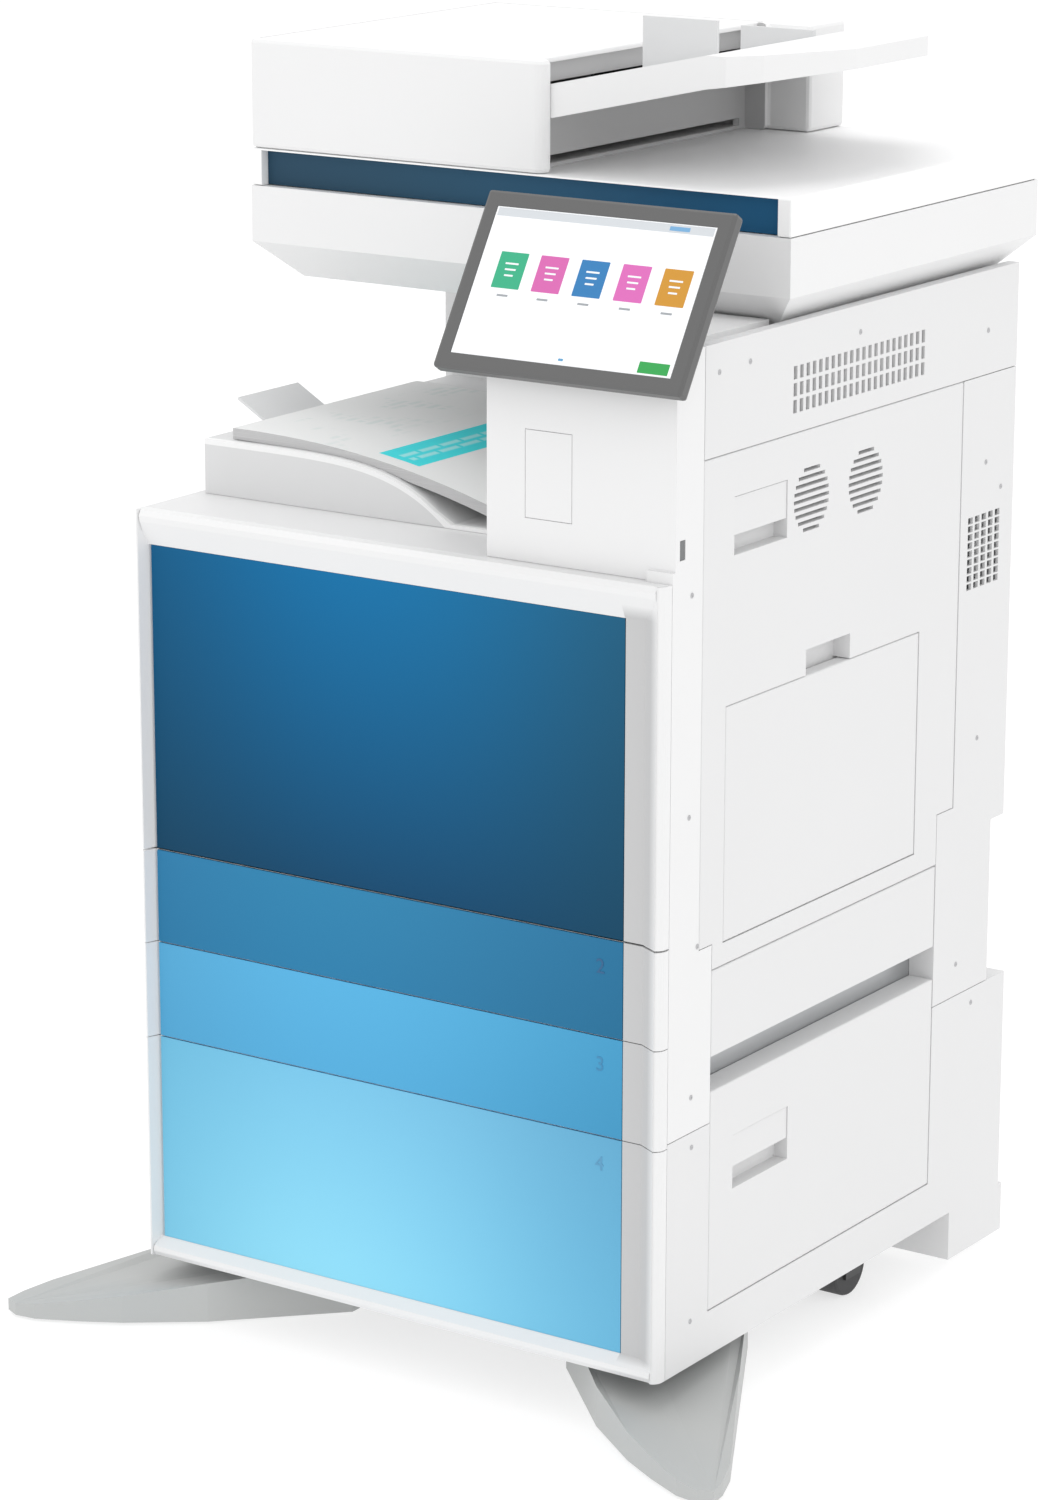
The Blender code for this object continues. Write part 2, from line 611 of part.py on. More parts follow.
def tapered_box(name, xs, ds, zs, taper, mat):
    """Box whose lower edges are chamfered all round."""
    body = box(name, xs, ds, zs, mat)
    bm = bmesh.new()
    bm.from_mesh(body.data)
    low = [f for f in bm.faces if f.normal.z < -0.5]
    sides = (zs[1] - zs[0]) / 2
    bmesh.ops.translate(bm, vec=(0, 0, taper), verts=low[0].verts)
    grown = bmesh.ops.extrude_face_region(bm, geom=low)
    bottom = [v for v in grown["geom"] if isinstance(v, bmesh.types.BMVert)]
    bmesh.ops.delete(bm, geom=[f for f in low if f.is_valid], context="FACES_ONLY")
    for v in bottom:
        v.co.x -= math.copysign(taper, v.co.x)
        v.co.y -= math.copysign(taper, v.co.y)
        v.co.z = -sides
    bmesh.ops.recalc_face_normals(bm, faces=bm.faces)
    bm.to_mesh(body.data)
    bm.free()
    return body


base = tapered_box("scanner_base", (-scan_half, scan_half), scan_ds, (SCANNER_BOTTOM, LID_SEAM - GAP),
                   SCANNER_CHAMFER, white)
cut_boxes(base, [(scan_inside_xs, scan_inside_ds, (scan_floor, LID_SEAM - glass_thickness - 0.0005)),
                 ((scan_inside_xs[0], scan_inside_xs[1]), (scan_ds[0] + 0.060, scan_ds[1] - 0.060),
                  (SCANNER_BOTTOM - PAST, scan_floor - WALL))], "scanner_hollows")
glass_xs = (scan_inside_xs[0] - 0.008, scan_inside_xs[1] + 0.008)
glass_ds = (scan_inside_ds[0] - 0.008, scan_inside_ds[1] + 0.008)
glass_sink = 0.0004       # the glass lies this far below the rim
glass_zs = (LID_SEAM - glass_thickness - GAP - glass_sink, LID_SEAM - GAP - glass_sink)
cut_box(base, glass_xs, glass_ds, (glass_zs[0] - GAP, LID_SEAM + PAST), "glass_seat")
box("platen_glass", (glass_xs[0] + GAP, glass_xs[1] - GAP), (glass_ds[0] + GAP, glass_ds[1] - GAP),
    glass_zs, glass)
carriage_xs = (scan_inside_xs[0] + 0.010, scan_inside_xs[0] + 0.060)
carriage = box("scan_carriage", carriage_xs, (scan_inside_ds[0] + GAP, scan_inside_ds[1] - GAP),
               (scan_floor + GAP, LID_SEAM - glass_thickness - 0.004), dark)
cut_box(carriage, (carriage_xs[0] + 0.018, carriage_xs[0] + 0.028),
        (scan_inside_ds[0] + 0.020, scan_inside_ds[1] - 0.020), (LID_SEAM - 0.022, LID_SEAM))
pivot("scan_carriage", (sum(carriage_xs) / 2, depth(sum(scan_inside_ds) / 2), scan_floor + 0.010),
      [carriage])


# ---- lid and document feeder --------------------------------------------------------------------
lid_top = LID_SEAM + LID_HEIGHT
band_xs = (-scan_half + 0.0123, scan_half - 0.0138)
band_depth = 0.010
lid = box("lid", (-scan_half, scan_half), scan_ds, (LID_SEAM + GAP, lid_top), white)
bevel(lid, 0.002)
band_top = lid_top - 0.0015
cut_box(lid, band_xs, (scan_ds[0] - PAST, scan_ds[0] + band_depth + WALL), (LID_SEAM - PAST, band_top),
        "band_recess")
band = box("lid_handle_band", (band_xs[0] + GAP, band_xs[1] - GAP),
           (scan_ds[0] + band_depth, scan_ds[0] + band_depth + WALL - GAP),
           (LID_SEAM + 2 * GAP, band_top - GAP), band_blue)
feeder_right = -scan_half + FEEDER_WIDTH
feeder_zs = (lid_top + GAP, lid_top + FEEDER_HEIGHT)
feeder_inside = (-scan_half + 0.030, feeder_right - 0.030)
feeder_corner = 0.0115
tower_reach = 0.048       # rear end of the feeder that runs on behind the document tray
throat_ds = (SCANNER_FRONT + 0.012, 0.5805)
throat_wall = 0.007       # wall between the throat and the inside, with a slot in and a slot out
cover_thickness = 0.005
feeder_floor = 0.003
feed_slot = (feeder_zs[1] - 0.031, feeder_zs[1] - 0.0245)
exit_slot = (feeder_zs[0] + feeder_floor + 0.0005, feeder_zs[0] + 0.011)


def make_feeder():
    """Feeder body: hollow under its cover, and open on the right above and below the document tray."""
    outline = [(-scan_half, scan_ds[0])]
    outline += arc(feeder_right - feeder_corner, scan_ds[0] + feeder_corner, feeder_corner, 270, 360, 6)
    outline += [(feeder_right, throat_ds[1] + 0.004), (feeder_right + tower_reach, throat_ds[1] + 0.004),
                (feeder_right + tower_reach, scan_ds[1]), (-scan_half, scan_ds[1])]
    body = bevel(extrude_outline("feeder_body", outline, "Z", *feeder_zs, white), 0.004)
    cut_box(body, feeder_inside, throat_ds, (feeder_zs[0] + feeder_floor, feeder_zs[1] + PAST),
            "feeder_hollow")
    cut_box(body, (feeder_inside[1] + throat_wall, feeder_right + PAST), throat_ds,
            (feeder_zs[0] - PAST, feeder_zs[1] + PAST), "throat")
    slot_xs = (feeder_inside[1] - PAST, feeder_inside[1] + throat_wall + PAST)
    cut_boxes(body, [(slot_xs, (throat_ds[0] + PAST, throat_ds[1] - PAST), zs)
                     for zs in (feed_slot, exit_slot)], "paper_slots")
    cut_box(body, (cover_xs[0] - SEAM, cover_xs[1] + SEAM), (cover_ds[0] - SEAM, cover_ds[1] + SEAM),
            (feeder_zs[1] - cover_thickness - 0.0008, feeder_zs[1] + PAST), "cover_seat")
    return body


cover_xs = (-scan_half + 0.008, feeder_right - 0.010)
cover_ds = (scan_ds[0] + 0.006, throat_ds[1] + 0.010)
feeder = make_feeder()
feeder_cover = box("feeder_cover", cover_xs, cover_ds, (feeder_zs[1] - cover_thickness, feeder_zs[1]), white)
bevel(feeder_cover, 0.0015)
pivot("feeder_cover", (cover_xs[0] + HINGE_INSET, depth(sum(cover_ds) / 2), feeder_zs[1] - HINGE_INSET),
      [feeder_cover])

roller_x, roller_z = feeder_right - 0.055, feeder_zs[0] + 0.075
roller = cylinder("pickup_roller", 0.014, (roller_x, depth(0.375), roller_z),
                  (roller_x, depth(0.445), roller_z), rubber, sides=24)
shaft = cylinder("roller_shaft", 0.004, (roller_x, depth(throat_ds[0] + GAP), roller_z),
                 (roller_x, depth(throat_ds[1] - GAP), roller_z), collection=cutters, sides=16)
boolean(roller, shaft, "UNION")
pivot("pickup_roller", (roller_x, depth(0.41), roller_z), [roller])

tray_left = feeder_right - 0.020
tray_bend = feeder_right + 0.165
tray_tip = feeder_right + 0.253
tray_rise, tip_rise = 0.219, 0.012     # slopes before and after the bend
tray_top_z = feeder_zs[1] - 0.0265
tray_ds = (throat_ds[0] + 0.0005, throat_ds[1] - 0.0005)


def tray_top(x):
    """Upper face of the document tray: a slope that flattens beyond the bend."""
    return (tray_top_z + tray_rise * (min(x, tray_bend) - tray_left)
            + tip_rise * max(x - tray_bend, 0.0))


tray_profile = [(tray_left, tray_top(tray_left)), (tray_left, tray_top(tray_left) - 0.024),
                (feeder_right, tray_top(feeder_right) - 0.031), (tray_bend, tray_top(tray_bend) - 0.030),
                (tray_tip, tray_top(tray_tip) - 0.018), (tray_tip, tray_top(tray_tip)),
                (tray_bend, tray_top(tray_bend))]
document_tray = extrude_outline("document_tray", tray_profile, "Y", *tray_ds, white)
near_corner = [(tray_bend + 0.012, tray_ds[0] - PAST), (tray_tip + PAST, tray_ds[0] - PAST),
               (tray_tip + PAST, tray_ds[0] + 0.123), (tray_tip, tray_ds[0] + 0.113),
               (tray_bend + 0.045, tray_ds[0] + 0.025)]
far_corner = [(tray_bend, tray_ds[1] + PAST), (tray_bend + 0.030, tray_ds[1] - 0.030),
              (tray_tip, tray_ds[1] - 0.130), (tray_tip + PAST, tray_ds[1] - 0.140),
              (tray_tip + PAST, tray_ds[1] + PAST)]
for i, corner in enumerate((near_corner, far_corner)):
    boolean(document_tray, extrude_outline("tray_corner_%d" % i, corner, "Z", tray_top_z - 0.1,
                                           tray_top_z + 0.2, collection=cutters))
tray_hinge = (feeder_right + 0.006, tray_top(feeder_right) - 0.006)
pivot("document_tray", (tray_hinge[0], depth(sum(tray_ds) / 2), tray_hinge[1]), [document_tray])

guide_xs = (feeder_right + 0.035, feeder_right + 0.115)
guide_thickness = 0.004
guide_reach = 0.0835      # from the middle of the tray to the inner face of each guide
guide_tops = {"front": feeder_zs[1] + 0.0330, "rear": feeder_zs[1] + 0.0090}


def make_guide(name, d, top):
    """Paper guide with a level top that stands on the sloping document tray."""
    x0, x1 = guide_xs
    profile = [(x0, tray_top(x0) + GAP), (x1, tray_top(x1) + GAP), (x1, top), (x0, top)]
    guide = extrude_outline(name, profile, "Y", d, d + guide_thickness, light_grey)
    pivot(name, (sum(guide_xs) / 2, depth(d + guide_thickness / 2), tray_top(sum(guide_xs) / 2)), [guide])


tray_middle = sum(tray_ds) / 2
make_guide("paper_guide_front", tray_middle - guide_reach - guide_thickness, guide_tops["front"])
make_guide("paper_guide_rear", tray_middle + guide_reach, guide_tops["rear"])
pivot("lid", (0, depth(scan_ds[1]), LID_SEAM), [lid, band, feeder])


# ---- control panel ------------------------------------------------------------------------------
screen_width, screen_height, screen_thickness = SCREEN_SIZE
screen_x, screen_d, screen_z = SCREEN_BOTTOM
screen_hinge_up = 0.100       # hinge height up the panel, measured along its face
hinge_behind = 0.030          # hinge axis behind the panel's face
lean = Vector((0, math.sin(SCREEN_TILT), math.cos(SCREEN_TILT)))
behind = Vector((0, math.cos(SCREEN_TILT), -math.sin(SCREEN_TILT)))
screen_foot = Vector((screen_x, depth(screen_d), screen_z))
screen_frame = Matrix(((1, 0, 0), (0, behind.y, lean.y), (0, behind.z, lean.z))).to_4x4()


def on_panel(name, xs, ds, ups, mat, collection=None):
    """Box laid out on the tilted panel: across it, behind its face and up it."""
    lo, hi = Vector((xs[0], ds[0], ups[0])), Vector((xs[1], ds[1], ups[1]))
    bm = bmesh.new()
    bmesh.ops.create_cube(bm, size=1.0, matrix=Matrix.Translation((lo + hi) / 2)
                          @ Matrix.Diagonal((*(hi - lo), 1.0)))
    bmesh.ops.transform(bm, matrix=screen_frame, verts=bm.verts)
    mesh = bpy.data.meshes.new(name)
    bm.to_mesh(mesh)
    bm.free()
    obj = add_object(name, mesh, mat, collection)
    obj.location = screen_foot
    return obj


half_screen = screen_width / 2
panel = on_panel("touch_panel", (-half_screen, half_screen), (0, screen_thickness), (0, screen_height),
                 bezel_grey)
bevel(panel, 0.003)
margin, top_margin = 0.0145, 0.0150
boolean(panel, on_panel("screen_seat", (-half_screen + margin, half_screen - margin), (-PAST, 0.0025),
                        (margin, screen_height - top_margin), None, cutters))
screen = on_panel("touch_screen", (-half_screen + margin + GAP, half_screen - margin - GAP),
                  (0.0006, 0.0025 - GAP), (margin + GAP, screen_height - top_margin - GAP), display)
hinge_point = screen_foot + lean * screen_hinge_up + behind * hinge_behind
lug_half, barrel_radius = 0.020, 0.006
lug = on_panel("panel_lug", (-lug_half, lug_half), (screen_thickness - 0.001, hinge_behind),
               (screen_hinge_up - 0.005, screen_hinge_up + 0.005), None, cutters)
boolean(panel, lug, "UNION")
boolean(panel, cylinder("panel_barrel", barrel_radius, hinge_point - Vector((lug_half, 0, 0)),
                        hinge_point + Vector((lug_half, 0, 0)), collection=cutters, sides=24), "UNION")
pivot("touch_panel", hinge_point, [panel, screen])

ear_thickness = 0.006
ear_start = lug_half + GAP
arm_foot_z = COLUMN_TOP + GAP
arm_ds = (hinge_point.y - FRONT_Y - 0.008, hinge_point.y - FRONT_Y + 0.034)
arm = box("screen_bracket", (screen_x - ear_start - ear_thickness, screen_x + ear_start + ear_thickness),
          arm_ds, (arm_foot_z, hinge_point.z + 0.008), light_grey)
cut_box(arm, (screen_x - ear_start, screen_x + ear_start), (arm_ds[0] - PAST, arm_ds[1] - 0.008),
        (arm_foot_z + 0.008, hinge_point.z + 0.02), "ear_gap")


# ---- inside the engine bay ----------------------------------------------------------------------
bay_floor = bay_bottom + GAP
laser_top = bay_floor + 0.065
imaging_top = laser_top + GAP + 0.150
imaging_xs = (cell_left + 0.006, 0.165)
engine_ds = (chassis_front + 0.010, 0.420)
box("laser_unit", imaging_xs, engine_ds, (bay_floor, laser_top), dark)
box("imaging_unit", imaging_xs, engine_ds, (laser_top + GAP, imaging_top), dark)
fuser = box("fuser_unit", (imaging_xs[1] + 0.008, cell_right - 0.004), engine_ds, (bay_floor, 0.690),
            light_grey)
cut_box(fuser, (cell_right - 0.012, cell_right + PAST), (engine_ds[0] + 0.030, engine_ds[1] - 0.030),
        (0.600, 0.615), "fuser_slot")
toner_colours = {"yellow": (0.75, 0.6, 0.05), "magenta": (0.6, 0.05, 0.25), "cyan": (0.03, 0.4, 0.6),
                 "black": (0.03, 0.03, 0.03)}
toner_radius = 0.034
toner_ds = (engine_ds[0], engine_ds[1] - 0.030)
toner_pitch = (imaging_xs[1] - imaging_xs[0]) / len(toner_colours)
for i, (colour, rgb) in enumerate(toner_colours.items()):
    x = imaging_xs[0] + (i + 0.5) * toner_pitch
    z = imaging_top + GAP + toner_radius
    toner = cylinder("toner_cartridge_" + colour, toner_radius, (x, depth(toner_ds[0]), z),
                     (x, depth(toner_ds[1]), z), material("toner_" + colour, rgb), sides=24)
    add_box(toner, (x - toner_radius * 0.8, x + toner_radius * 0.8),
            (toner_ds[0] + 0.001, toner_ds[1] - 0.001), (imaging_top + GAP, z))


# ---- casters and stabilisers --------------------------------------------------------------------
wheel_gap = 0.0006
axle_clearance = 0.0001   # running fit of the bore on its axle
leg = 0.003
crown_inset = 0.0005      # keeps the crown block off the fork's own planes
axle_radius = 0.004
fork_half = WHEEL_WIDTH / 2 + wheel_gap + leg
crown_bottom = 2 * WHEEL_RADIUS + 0.002
swivel_reach = math.hypot(CASTER_TRAIL + WHEEL_RADIUS, WHEEL_WIDTH / 2)


def make_caster(name, x, d, steered):
    """Wheel in its fork. A steered fork swivels ahead of its wheel, a fixed one is welded to the chassis."""
    top = chassis_bottom - GAP if steered else chassis_bottom + STEEL / 2
    wheel_d = d + CASTER_TRAIL
    fork = box(name + "_fork", (x - fork_half, x + fork_half), (wheel_d - 0.014, wheel_d + 0.014),
               (WHEEL_RADIUS - 0.010, top), steel, None if steered else cutters)
    add_box(fork, (x - fork_half + crown_inset, x + fork_half - crown_inset), (d - 0.016, wheel_d),
            (crown_bottom + crown_inset, top - crown_inset))
    cut_box(fork, (x - fork_half + leg, x + fork_half - leg), (wheel_d - 0.05, wheel_d + 0.05),
            (0, crown_bottom), name + "_slot")
    axle = [(x + end * (fork_half - 0.0005), depth(wheel_d), WHEEL_RADIUS) for end in (-1, 1)]
    boolean(fork, cylinder(name + "_axle", axle_radius, *axle, collection=cutters, sides=16), "UNION")
    faces = [(x + end * WHEEL_WIDTH / 2, depth(wheel_d), WHEEL_RADIUS) for end in (-1, 1)]
    wheel = bevel(cylinder(name + "_wheel", WHEEL_RADIUS, *faces, rubber, sides=40), 0.003)
    bore = [(x + end * WHEEL_WIDTH, depth(wheel_d), WHEEL_RADIUS) for end in (-1, 1)]
    boolean(wheel, cylinder(name + "_bore", axle_radius + axle_clearance, *bore, collection=cutters,
                            sides=16))
    if steered:
        pivot(name + "_fork", (x, depth(d), top), [fork])
    else:
        boolean(chassis, fork, "UNION")
    pivot(name + "_wheel", (x, depth(wheel_d), WHEEL_RADIUS), [wheel])


for side, sign in (("left", -1), ("right", 1)):
    make_caster("front_caster_" + side, sign * CASTER_X, CASTER_FRONT, True)
    make_caster("rear_caster_" + side, sign * REAR_CASTER_X, CASTER_BACK, False)

fin_bottom, fin_root, fin_tip = 0.003, 0.054, 0.015
fin_outline = [(0.125, 0.105), (0.225, 0.005), (0.291, -0.044), (0.330, -0.066), (0.368, -0.084),
               (0.390, -0.087), (0.405, -0.080), (0.402, -0.060), (0.391, -0.030), (0.314, 0.110),
               (0.240, 0.245), (0.160, 0.245), (0.125, 0.210)]
fin_root_point, fin_direction = Vector((0.20, 0.10)), Vector((0.75, -0.66)).normalized()
fin_reach = 0.27
swivel_room = 0.010       # between a turning wheel and the fin round it


def make_fin(side, sign):
    """Sloping floor plate that stops the machine tipping forward when the trays are out."""
    points = [(sign * x, d) for x, d in fin_outline]
    fin = extrude_outline("stabiliser_" + side, points, "Z", fin_bottom, fin_root, light_grey)
    for v in fin.data.vertices:
        if v.co.z > (fin_bottom + fin_root) / 2:
            out = (Vector((sign * v.co.x, v.co.y - FRONT_Y)) - fin_root_point).dot(fin_direction)
            v.co.z -= (fin_root - fin_tip) * max(out, 0.0) / fin_reach
    add_box(fin, sorted((sign * 0.128, sign * 0.160)), (0.110, 0.200),
            (fin_root - 0.020, chassis_bottom - GAP))
    swivel = [(sign * CASTER_X, depth(CASTER_FRONT), z) for z in (-PAST, chassis_bottom + PAST)]
    boolean(fin, cylinder(fin.name + "_clearance", swivel_reach + swivel_room, *swivel,
                          collection=cutters, sides=40))


make_fin("left", -1)
make_fin("right", 1)
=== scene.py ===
"""Looks of the floor-standing office photocopier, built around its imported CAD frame.

Metres, +Z up, +X to the operator's right, -Y towards the operator.
"""
import math
import random

import bmesh
import bpy
from mathutils import Matrix, Vector


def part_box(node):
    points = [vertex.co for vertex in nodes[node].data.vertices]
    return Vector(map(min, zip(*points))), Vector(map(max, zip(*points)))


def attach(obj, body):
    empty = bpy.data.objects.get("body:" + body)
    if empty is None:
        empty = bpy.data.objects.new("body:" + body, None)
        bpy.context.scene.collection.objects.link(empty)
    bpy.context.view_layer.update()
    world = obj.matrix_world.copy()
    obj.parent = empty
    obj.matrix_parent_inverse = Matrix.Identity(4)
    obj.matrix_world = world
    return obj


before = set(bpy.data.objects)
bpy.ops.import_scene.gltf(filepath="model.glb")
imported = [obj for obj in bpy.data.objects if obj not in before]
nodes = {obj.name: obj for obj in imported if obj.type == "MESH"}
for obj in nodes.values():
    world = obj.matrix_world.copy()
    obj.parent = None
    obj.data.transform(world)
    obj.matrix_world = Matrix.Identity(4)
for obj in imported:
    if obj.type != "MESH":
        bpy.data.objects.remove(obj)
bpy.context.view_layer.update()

# ---- camera -------------------------------------------------------------------------------------
# A long lens looks down a little at the front and the operator's right-hand side. A small lens
# shift sets the framing without turning the view.
camera_data = bpy.data.cameras.new("camera")
camera_data.lens, camera_data.sensor_width = 112.2, 36.0
camera_data.shift_x, camera_data.shift_y = 0.0123, 0.0073
camera_data.clip_end = 50.0
camera = bpy.data.objects.new("camera", camera_data)
camera.location = (2.4066, -3.6014, 1.7027)
camera.rotation_euler = (math.radians(74.95), 0.0, math.radians(34.51))
bpy.context.scene.collection.objects.link(camera)
bpy.context.scene.camera = camera


# ---- studio -------------------------------------------------------------------------------------
# A white light-box floor that glows a little, so it holds hardly any shadow, an even white
# surround, and large soft lights from the left, the right and above.
def principled(name, colour, roughness, metallic=0.0):
    mat = bpy.data.materials.new(name)
    mat.use_nodes = True
    shader = mat.node_tree.nodes["Principled BSDF"]
    shader.inputs["Base Color"].default_value = (*colour, 1.0)
    shader.inputs["Roughness"].default_value = roughness
    shader.inputs["Metallic"].default_value = metallic
    return mat


def node(mat, kind, **settings):
    made = mat.node_tree.nodes.new(kind)
    for key, value in settings.items():
        setattr(made, key, value)
    return made


def link(mat, source, target):
    mat.node_tree.links.new(source, target)


def mesh_object(name, bm, mat):
    mesh = bpy.data.meshes.new(name)
    bm.to_mesh(mesh)
    bm.free()
    mesh.materials.append(mat)
    obj = bpy.data.objects.new(name, mesh)
    bpy.context.scene.collection.objects.link(obj)
    return obj


floor_reach, floor_glow = 14.0, 0.66
floor_mesh = bmesh.new()
bmesh.ops.create_grid(floor_mesh, x_segments=1, y_segments=1, size=floor_reach)
floor_white = principled("studio_floor", (0.40, 0.40, 0.40), 0.9)
floor_shader = floor_white.node_tree.nodes["Principled BSDF"]
floor_shader.inputs["Emission Color"].default_value = (1.0, 1.0, 1.0, 1.0)
floor_shader.inputs["Emission Strength"].default_value = floor_glow
floor = mesh_object("floor", floor_mesh, floor_white)

world = bpy.data.worlds.new("surround")
world.use_nodes = True
world.node_tree.nodes["Background"].inputs["Color"].default_value = (1.0, 1.0, 1.0, 1.0)
world.node_tree.nodes["Background"].inputs["Strength"].default_value = 1.0
bpy.context.scene.world = world
bpy.context.scene.view_settings.view_transform = "Standard"


def soft_light(name, place, target, size, watts):
    data = bpy.data.lights.new(name, "AREA")
    data.shape, data.size, data.energy = "DISK", size, watts
    lamp = bpy.data.objects.new(name, data)
    lamp.location = place
    lamp.rotation_euler = (Vector(target) - Vector(place)).to_track_quat("-Z", "Y").to_euler()
    bpy.context.scene.collection.objects.link(lamp)


soft_light("key_light", (3.2, -1.2, 2.6), (0.1, 0.0, 0.7), 2.2, 13.0)
soft_light("front_light", (-2.2, -3.4, 2.4), (0.0, -0.2, 0.6), 2.6, 14.0)
soft_light("top_light", (0.0, 0.3, 3.6), (0.0, 0.1, 0.9), 2.2, 20.0)


# ---- moulded covers -----------------------------------------------------------------------------
# Injection-moulded plastic covers. The real ones carry a fine spark-eroded grain that
# softens highlights, and their tone drifts a little from one part of a cover to the next.
def moulded_group():
    group = bpy.data.node_groups.new("moulded_grain", "ShaderNodeTree")
    face = group.interface
    face.new_socket(name="Colour", in_out="INPUT", socket_type="NodeSocketColor")
    for label, value in (("Grain scale", 1400.0), ("Tone drift", 0.03), ("Base roughness", 0.45)):
        face.new_socket(name=label, in_out="INPUT", socket_type="NodeSocketFloat").default_value = value
    face.new_socket(name="Colour", in_out="OUTPUT", socket_type="NodeSocketColor")
    for label in ("Roughness", "Height"):
        face.new_socket(name=label, in_out="OUTPUT", socket_type="NodeSocketFloat")
    add, join = group.nodes.new, group.links.new
    given, out = add("NodeGroupInput"), add("NodeGroupOutput")
    place = add("ShaderNodeTexCoord")
    grain, drift = add("ShaderNodeTexNoise"), add("ShaderNodeTexNoise")
    grain.inputs["Detail"].default_value, drift.inputs["Detail"].default_value = 2.0, 3.0
    drift.inputs["Scale"].default_value = 5.0
    join(given.outputs["Grain scale"], grain.inputs["Scale"])
    for texture in (grain, drift):
        join(place.outputs["Object"], texture.inputs["Vector"])
    centred, shift, bright = (add("ShaderNodeMath") for _ in range(3))
    centred.operation, shift.operation, bright.operation = "SUBTRACT", "MULTIPLY", "ADD"
    centred.inputs[1].default_value, bright.inputs[1].default_value = 0.5, 1.0
    join(drift.outputs["Fac"], centred.inputs[0])
    join(centred.outputs[0], shift.inputs[0])
    join(given.outputs["Tone drift"], shift.inputs[1])
    join(shift.outputs[0], bright.inputs[0])
    tone = add("ShaderNodeVectorMath")
    tone.operation = "SCALE"
    join(given.outputs["Colour"], tone.inputs[0])
    join(bright.outputs[0], tone.inputs["Scale"])
    rough_shift, rough = add("ShaderNodeMath"), add("ShaderNodeMath")
    rough_shift.operation, rough.operation = "MULTIPLY_ADD", "ADD"
    rough_shift.inputs[1].default_value, rough_shift.inputs[2].default_value = 0.12, -0.06
    join(grain.outputs["Fac"], rough_shift.inputs[0])
    join(rough_shift.outputs[0], rough.inputs[0])
    join(given.outputs["Base roughness"], rough.inputs[1])
    join(tone.outputs[0], out.inputs["Colour"])
    join(rough.outputs[0], out.inputs["Roughness"])
    join(grain.outputs["Fac"], out.inputs["Height"])
    return group


MOULDED = moulded_group()


def moulded(name, colour, roughness=0.45, grain_scale=1400.0, drift=0.03, bump=0.06, metallic=0.0):
    """Grained plastic of one colour. Returns the material and its grain node, whose Colour can be fed."""
    mat = principled(name, colour, roughness, metallic)
    shader = mat.node_tree.nodes["Principled BSDF"]
    grain = node(mat, "ShaderNodeGroup", node_tree=MOULDED)
    for label, value in (("Colour", (*colour, 1.0)), ("Grain scale", grain_scale), ("Tone drift", drift),
                         ("Base roughness", roughness)):
        grain.inputs[label].default_value = value
    raised = node(mat, "ShaderNodeBump")
    raised.inputs["Strength"].default_value, raised.inputs["Distance"].default_value = bump, 0.0002
    link(mat, grain.outputs["Colour"], shader.inputs["Base Color"])
    link(mat, grain.outputs["Roughness"], shader.inputs["Roughness"])
    link(mat, grain.outputs["Height"], raised.inputs["Height"])
    link(mat, raised.outputs["Normal"], shader.inputs["Normal"])
    return mat, grain


def dress(mat, *names):
    for name in names:
        nodes[name].data.materials.clear()
        nodes[name].data.materials.append(mat)


COVER = (0.79, 0.79, 0.792)
cover_white, _ = moulded("cover_white", COVER)
dress(cover_white, "left_cover", "rear_cover", "column_cover", "column_plate", "scanner_base",
      "feeder_cover", "document_tray")
# Painted shade: the deck and the right-hand covers and doors get a darker copy of the cover white, standing
# in for shade on them.
dress(moulded("side_white_painted_shade", (0.735, 0.735, 0.738))[0], "deck", "right_upper_cover", "right_rear_cover",
      "cabinet_right_cover", "right_door", "right_door_latch", "multipurpose_tray", "lower_right_door",
      "cabinet_door", "cabinet_door_latch")
# Painted light: the lid gets a brighter copy of the cover white, lifting its top out of the shade of the
# document tray.
dress(moulded("lid_white_painted_light", (0.90, 0.90, 0.902))[0], "lid")
# Painted shade: the tower wall at the back of the output bin gets a darker copy of the cover white, for the
# shade under the scanner.
dress(moulded("bin_white_painted_shade", (0.70, 0.702, 0.705), 0.5)[0], "tower_cover")
dress(moulded("stop_grey", (0.70, 0.705, 0.71), 0.5)[0], "paper_stop")
dress(moulded("button_grey", (0.16, 0.165, 0.17), 0.4)[0], "power_button")
guide_grey, _ = moulded("guide_grey", (0.66, 0.665, 0.67), 0.5)
dress(guide_grey, "paper_guide_front", "paper_guide_rear", "screen_bracket", "fuser_unit",
      "tray_2_bin", "tray_3_bin", "tray_4_bin")
fin_grey, _ = moulded("stabiliser_grey", (0.47, 0.48, 0.475), 0.5)
dress(fin_grey, "stabiliser_left", "stabiliser_right")
works_dark, _ = moulded("works_dark", (0.045, 0.045, 0.05), 0.5, drift=0.1)
dress(works_dark, "laser_unit", "imaging_unit", "scan_carriage")


# ---- white frames of the fronts ------------------------------------------------------------------
# The door and drawer fronts are moulded in the cover white. The flat strip to the right of the
# panels, and the slope beside it, are painted greyer, as shade for that groove.
def position(mat):
    """Object-space X, Y and Z outputs of a material."""
    place, split = node(mat, "ShaderNodeTexCoord"), node(mat, "ShaderNodeSeparateXYZ")
    link(mat, place.outputs["Object"], split.inputs[0])
    return split.outputs


def fade(mat, source, start, end):
    """0 to 1 as the source goes from start to end, held outside them."""
    ranged = node(mat, "ShaderNodeMapRange")
    ranged.inputs["From Min"].default_value, ranged.inputs["From Max"].default_value = start, end
    link(mat, source, ranged.inputs["Value"])
    return ranged.outputs["Result"]


def within(mat, source, low, high, edge):
    """1 between low and high, falling to 0 at both over the width of an edge."""
    return product(mat, fade(mat, source, low, low + edge), fade(mat, source, high, high - edge))


